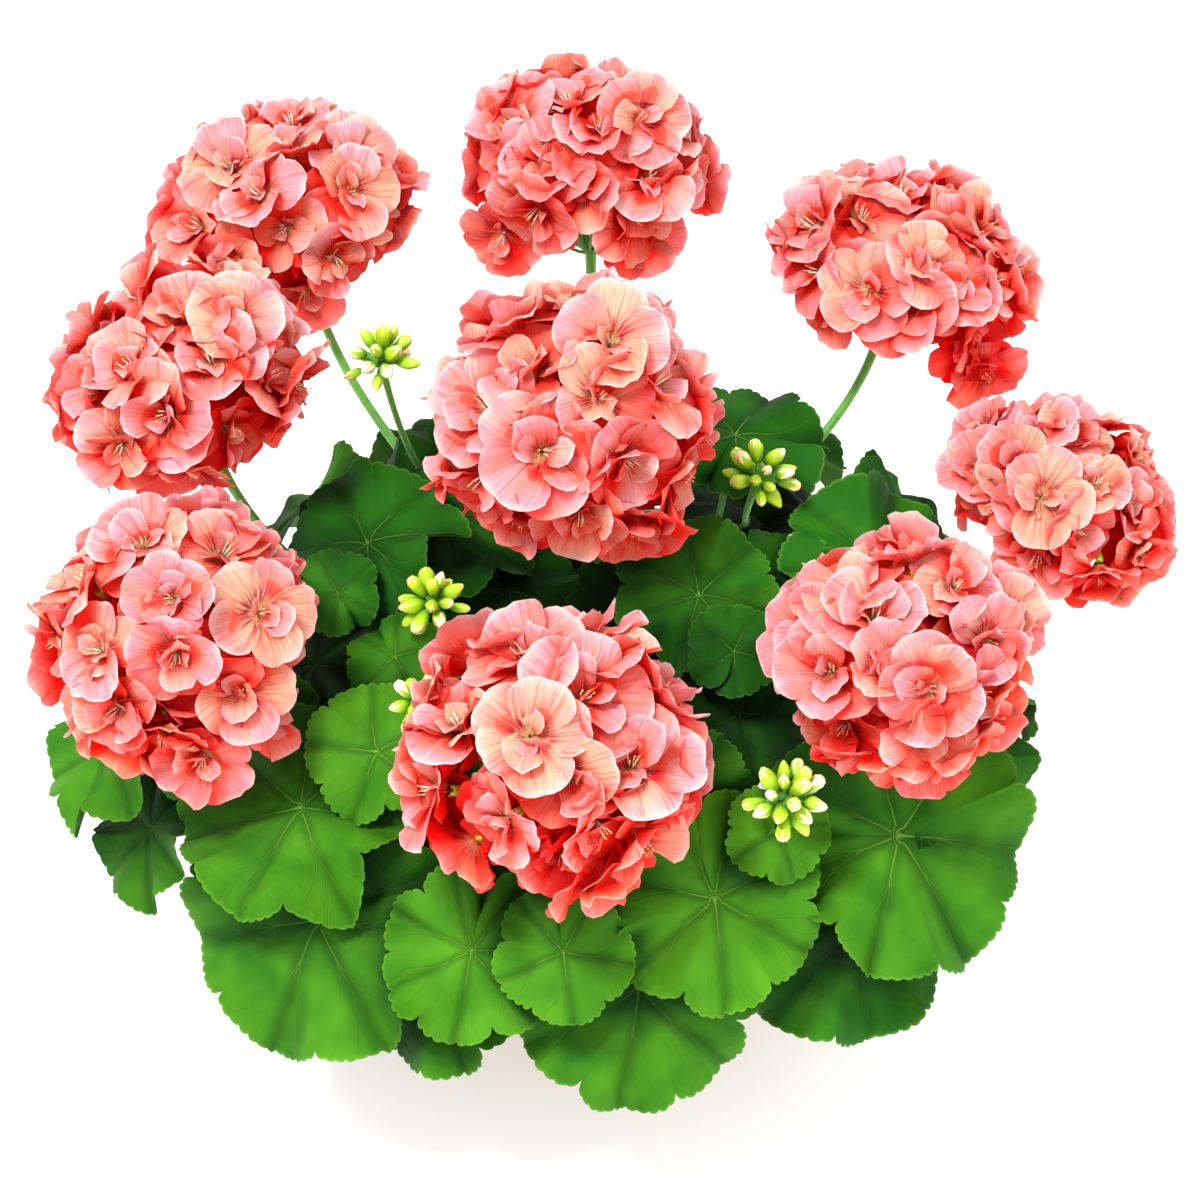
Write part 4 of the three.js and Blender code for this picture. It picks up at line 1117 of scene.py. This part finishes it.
for index, shoot in enumerate(shoots):
    head = shoot["head"]
    name = shoot["name"]
    basis = frameAt(umbelAxis(head), np.array([1.0, 0, 0]))
    middle = np.array(head["centre"], float)
    foot = np.array([0, 0, -headFoot * head["height"]])  # where the pedicels leave the stalk
    florets = seatFlorets(head, looseFlorets[name], index, middle, basis, rng)
    petals, cups, stamens, pedicels = [], [], [], []
    for seat, axis, radius, layer, tone in florets:
        turnBy = frameAt(axis, np.array([0.3, 1, 0.2])) @ turned("Z", rng.uniform(0, 2 * math.pi))
        throat = seat - axis * radius * headShape["throat"]
        for spot, way, length, form, petalTone in floretPetals(layer, radius, tone, rng):
            petals.append((middle + basis @ (throat + turnBy @ spot), basis @ turnBy @ way, length, form,
                           petalTone))
        if layer != "inner":
            cups.append((middle + basis @ throat, basis @ turnBy, radius, 0, rng.uniform(0, 0.4)))
            stamens.append((middle + basis @ (throat + axis * 0.03 * radius), basis @ turnBy, radius,
                            int(rng.integers(3)), 0.5))
            end = throat - axis * 0.25 * radius
            line = bendPoints(foot, unit(seat * [1, 1, 0.6] + [0, 0, head["height"] * 0.5]), end, axis, 9)
            pedicels.append((middle + line @ basis.T, np.full(9, headShape["pedicel"])))
    piece = scatterPiece(f"petals_{name}", petals, petalForms, petalMaterial)
    outward = readPoints(piece.data) - (middle - basis[:, 2] * head["height"] * 0.3) * mm
    outward = outward / np.linalg.norm(outward, axis=1)[:, None]
    # painted light: the top of a head is painted paler than its underside, as more light falls on it
    markOpen(piece.data, solidOf([piece.data]), outward + up * 0.6, headRays, 0.26 * outward[:, 2])
    place(piece, f"flower_head_{name}", "petals")
    piece = scatterPiece(f"calyces_{name}", cups, calyxForms, budMaterial)
    place(piece, f"flower_head_{name}", "buds")
    piece = scatterPiece(f"stamens_{name}", stamens, stamenForms, antherMaterial)
    place(piece, f"flower_head_{name}", "petals")
    piece = stalksPiece(f"pedicels_{name}", pedicels, headShape, index)
    place(piece, f"flower_head_{name}", "foliage")
print("flower heads ready")


# Bud clusters

budShape = {
    "length": 11.0, "fan": 1.25, "timesMore": 2.8, "pedicel": 0.8, "hairsPerM2": 150000.0,
    "hairLength": 0.8, "sides": 6,
}
# radius and height of a plump bud, a slim one and one that opens, as shares of its length
budOutlines = [
    [(0, 0), (0.10, 0.02), (0.22, 0.14), (0.29, 0.34), (0.28, 0.55), (0.19, 0.78), (0.08, 0.95), (0, 1)],
    [(0, 0), (0.09, 0.02), (0.18, 0.14), (0.23, 0.34), (0.24, 0.58), (0.19, 0.80), (0.09, 0.95), (0, 1)],
    [(0, 0), (0.09, 0.02), (0.18, 0.14), (0.22, 0.32), (0.27, 0.60), (0.29, 0.82), (0.18, 1.02), (0, 1.08)],
]
budForms = collectForms("bud", [latheForm(outline, 8, 0.05) for outline in budOutlines], "BudMap")
rng = np.random.default_rng(5)
for index, shoot in enumerate(shoots):
    if "buds" not in shoot:
        continue
    buds = shoot["buds"]
    name = shoot["name"]
    basis = frameAt(umbelAxis(buds), np.array([1.0, 0, 0]))
    middle = np.array(buds["centre"], float)
    count = int(round(buds["count"] * budShape["timesMore"]))
    spots, pedicels = [], []
    for i in range(count):
        level = 1 - (i + 0.4) / count * budShape["fan"]
        way = around(goldenTurn * i + rng.uniform(-0.2, 0.2), math.sqrt(1 - level ** 2), level)
        length = budShape["length"] * rng.uniform(0.7, 1.0)
        neck = (buds["spread"] - length) * rng.uniform(0.75, 1.1)
        hang = unit(way + up * rng.uniform(-0.25, 0.1))
        start = way * max(neck, 2.0)
        spots.append((middle + basis @ start, basis @ frameAt(hang, np.array([0.2, 1, 0.1])), length,
                      int(rng.integers(3)), rng.uniform(0.2, 0.95)))
        line = bendPoints(np.array([0, 0, -1.5]), unit(way + up * 0.6), start + hang * 0.4, hang, 7)
        pedicels.append((middle + line @ basis.T, np.full(7, budShape["pedicel"])))
    pedicels.append((middle + np.array([[0, 0, -3.0], [0, 0, -1.5], [0, 0, 0.2], [0, 0, 1.0]]) @ basis.T,
                     [1.9, 2.4, 2.2, 1.0]))
    piece = scatterPiece(f"buds_{name}", spots, budForms, budMaterial)
    place(piece, f"bud_cluster_{name}", "buds")
    piece = stalksPiece(f"bud_pedicels_{name}", pedicels, budShape, index)
    place(piece, f"bud_cluster_{name}", "buds")
print("bud clusters ready")


# Pot and soil

potShape = {
    "segments": 96, "height": 128, "baseRadius": 48, "rimRadius": 75, "wall": 5.5, "floor": 9,
    "bandFoot": 98, "bandDepth": 3.5, "holes": 4, "holeRadius": 5, "holeRing": 25, "holeTurn": 45,
}


def wallRadius(z):
    top = potShape["rimRadius"] - potShape["bandDepth"]
    return potShape["baseRadius"] + (top - potShape["baseRadius"]) * z / potShape["height"]


# radius and height, from the middle of the underside up the outside and down the inside
base = potShape["baseRadius"]
rim = potShape["rimRadius"]
height = potShape["height"]
band = potShape["bandFoot"]
proud = wallRadius(band)
inside = wallRadius(height) - potShape["wall"]
floorHeight = potShape["floor"]
deep = wallRadius(floorHeight) - potShape["wall"]
halfway = height / 2
potProfile = [
    (0, 0), (base - 1.8, 0), (base - 0.6, 0.5), (base + 0.2, 1.6), (wallRadius(30), 30),
    (wallRadius(halfway), halfway), (proud - 0.3, band - 1.4), (proud + 0.4, band - 0.2),
    (proud + 2.6, band + 0.6), (proud + 3.5, band + 2.2), (rim - 0.6, height - 8),
    (rim - 0.1, height - 2.4), (rim - 0.8, height - 0.7), (rim - 2.4, height), (inside + 1.6, height),
    (inside + 0.4, height - 0.6), (inside, height - 2), (wallRadius(halfway) - potShape["wall"], halfway),
    (deep + 0.8, floorHeight + 5), (deep - 1.2, floorHeight + 1.4), (deep - 4, floorHeight),
    (0, floorHeight)]
potPart = latheForm(potProfile, potShape["segments"])
pot = addPiece("terracotta_pot", meshOf("terracotta_pot", [potPart], "TurnMap", clayMaterial))
hole = potShape["holeRadius"]
for k in range(potShape["holes"]):
    part = latheForm([(0, -2), (hole, -2), (hole, floorHeight + 2), (0, floorHeight + 2)], 24)
    azimuth = potShape["holeTurn"] + 360 / potShape["holes"] * k
    part["points"] = part["points"] + polar(azimuth, potShape["holeRing"], 0)
    drill = addPiece(f"drill{k}", meshOf("drill", [part], "TurnMap"))
    cut = pot.modifiers.new("drain", "BOOLEAN")
    cut.operation = "DIFFERENCE"
    cut.solver = "EXACT"
    cut.object = drill
    holed = plainMesh(pot)
    pot.modifiers.remove(cut)
    pot.data = holed
    bpy.data.objects.remove(drill)
pot.data.set_sharp_from_angle(angle=math.radians(35))
place(pot, "pot", "clay")

soilShape = {
    "rings": 22, "segments": 96, "floor": 9.6, "edgeHeight": 116, "crown": 3, "gap": 0.6,
    "roughness": 1.1, "waves": 26, "crumbsPerM2": 90000.0, "crumbSize": 2.4, "crumbForms": 4,
}
low = soilShape["floor"]
high = soilShape["edgeHeight"]
edge = wallRadius(high) - potShape["wall"] - soilShape["gap"]
profile = [(0, low), (wallRadius(low) - potShape["wall"] - 0.7, low), (edge, high - 0.8)]
for k in range(1, soilShape["rings"]):
    share = k / soilShape["rings"]
    profile.append((edge * (1 - share), high + soilShape["crown"] * min(1, 2.2 * share)))
profile.append((0, high + soilShape["crown"]))
soilPart = latheForm(profile, soilShape["segments"])
rng = np.random.default_rng(3)
p = soilPart["points"]
topSide = p[:, 2] > high - 0.1
for _ in range(soilShape["waves"]):
    way = rng.normal(size=2) * rng.uniform(0.1, 0.8)
    bumps = np.sin(p[topSide, :2] @ way + rng.uniform(0, 6.28))
    p[topSide, 2] += bumps * 0.18 * soilShape["roughness"] - 0.02
crumbParts = []
for k in range(soilShape["crumbForms"]):
    ball = latheForm([(0, -0.5), (0.3, -0.42), (0.5, 0), (0.35, 0.35), (0, 0.5)], 6)
    stretch = rng.uniform(0.65, 1.25, 3)
    dents = 1 + 0.15 * rng.normal(size=(len(ball["points"]), 1))
    ball["points"] = ball["points"] * stretch * dents * soilShape["crumbSize"] * mm
    crumbParts.append(ball)
crumbForms = collectForms("crumb", crumbParts, "TurnMap")
soil = runTree("potting_soil_top", meshOf("soilBody", [soilPart], "TurnMap"), crumbTree, {
    "Forms": crumbForms, "Crumbs per m2": soilShape["crumbsPerM2"], "Seed": 4, "Material": soilMaterial})
place(soil, "potting_soil", "soil")
print("pot and soil ready")

for forms in (petalForms, calyxForms, stamenForms, budForms, crumbForms):
    for form in list(forms.objects):
        bpy.data.meshes.remove(form.data)
    bpy.data.collections.remove(forms)
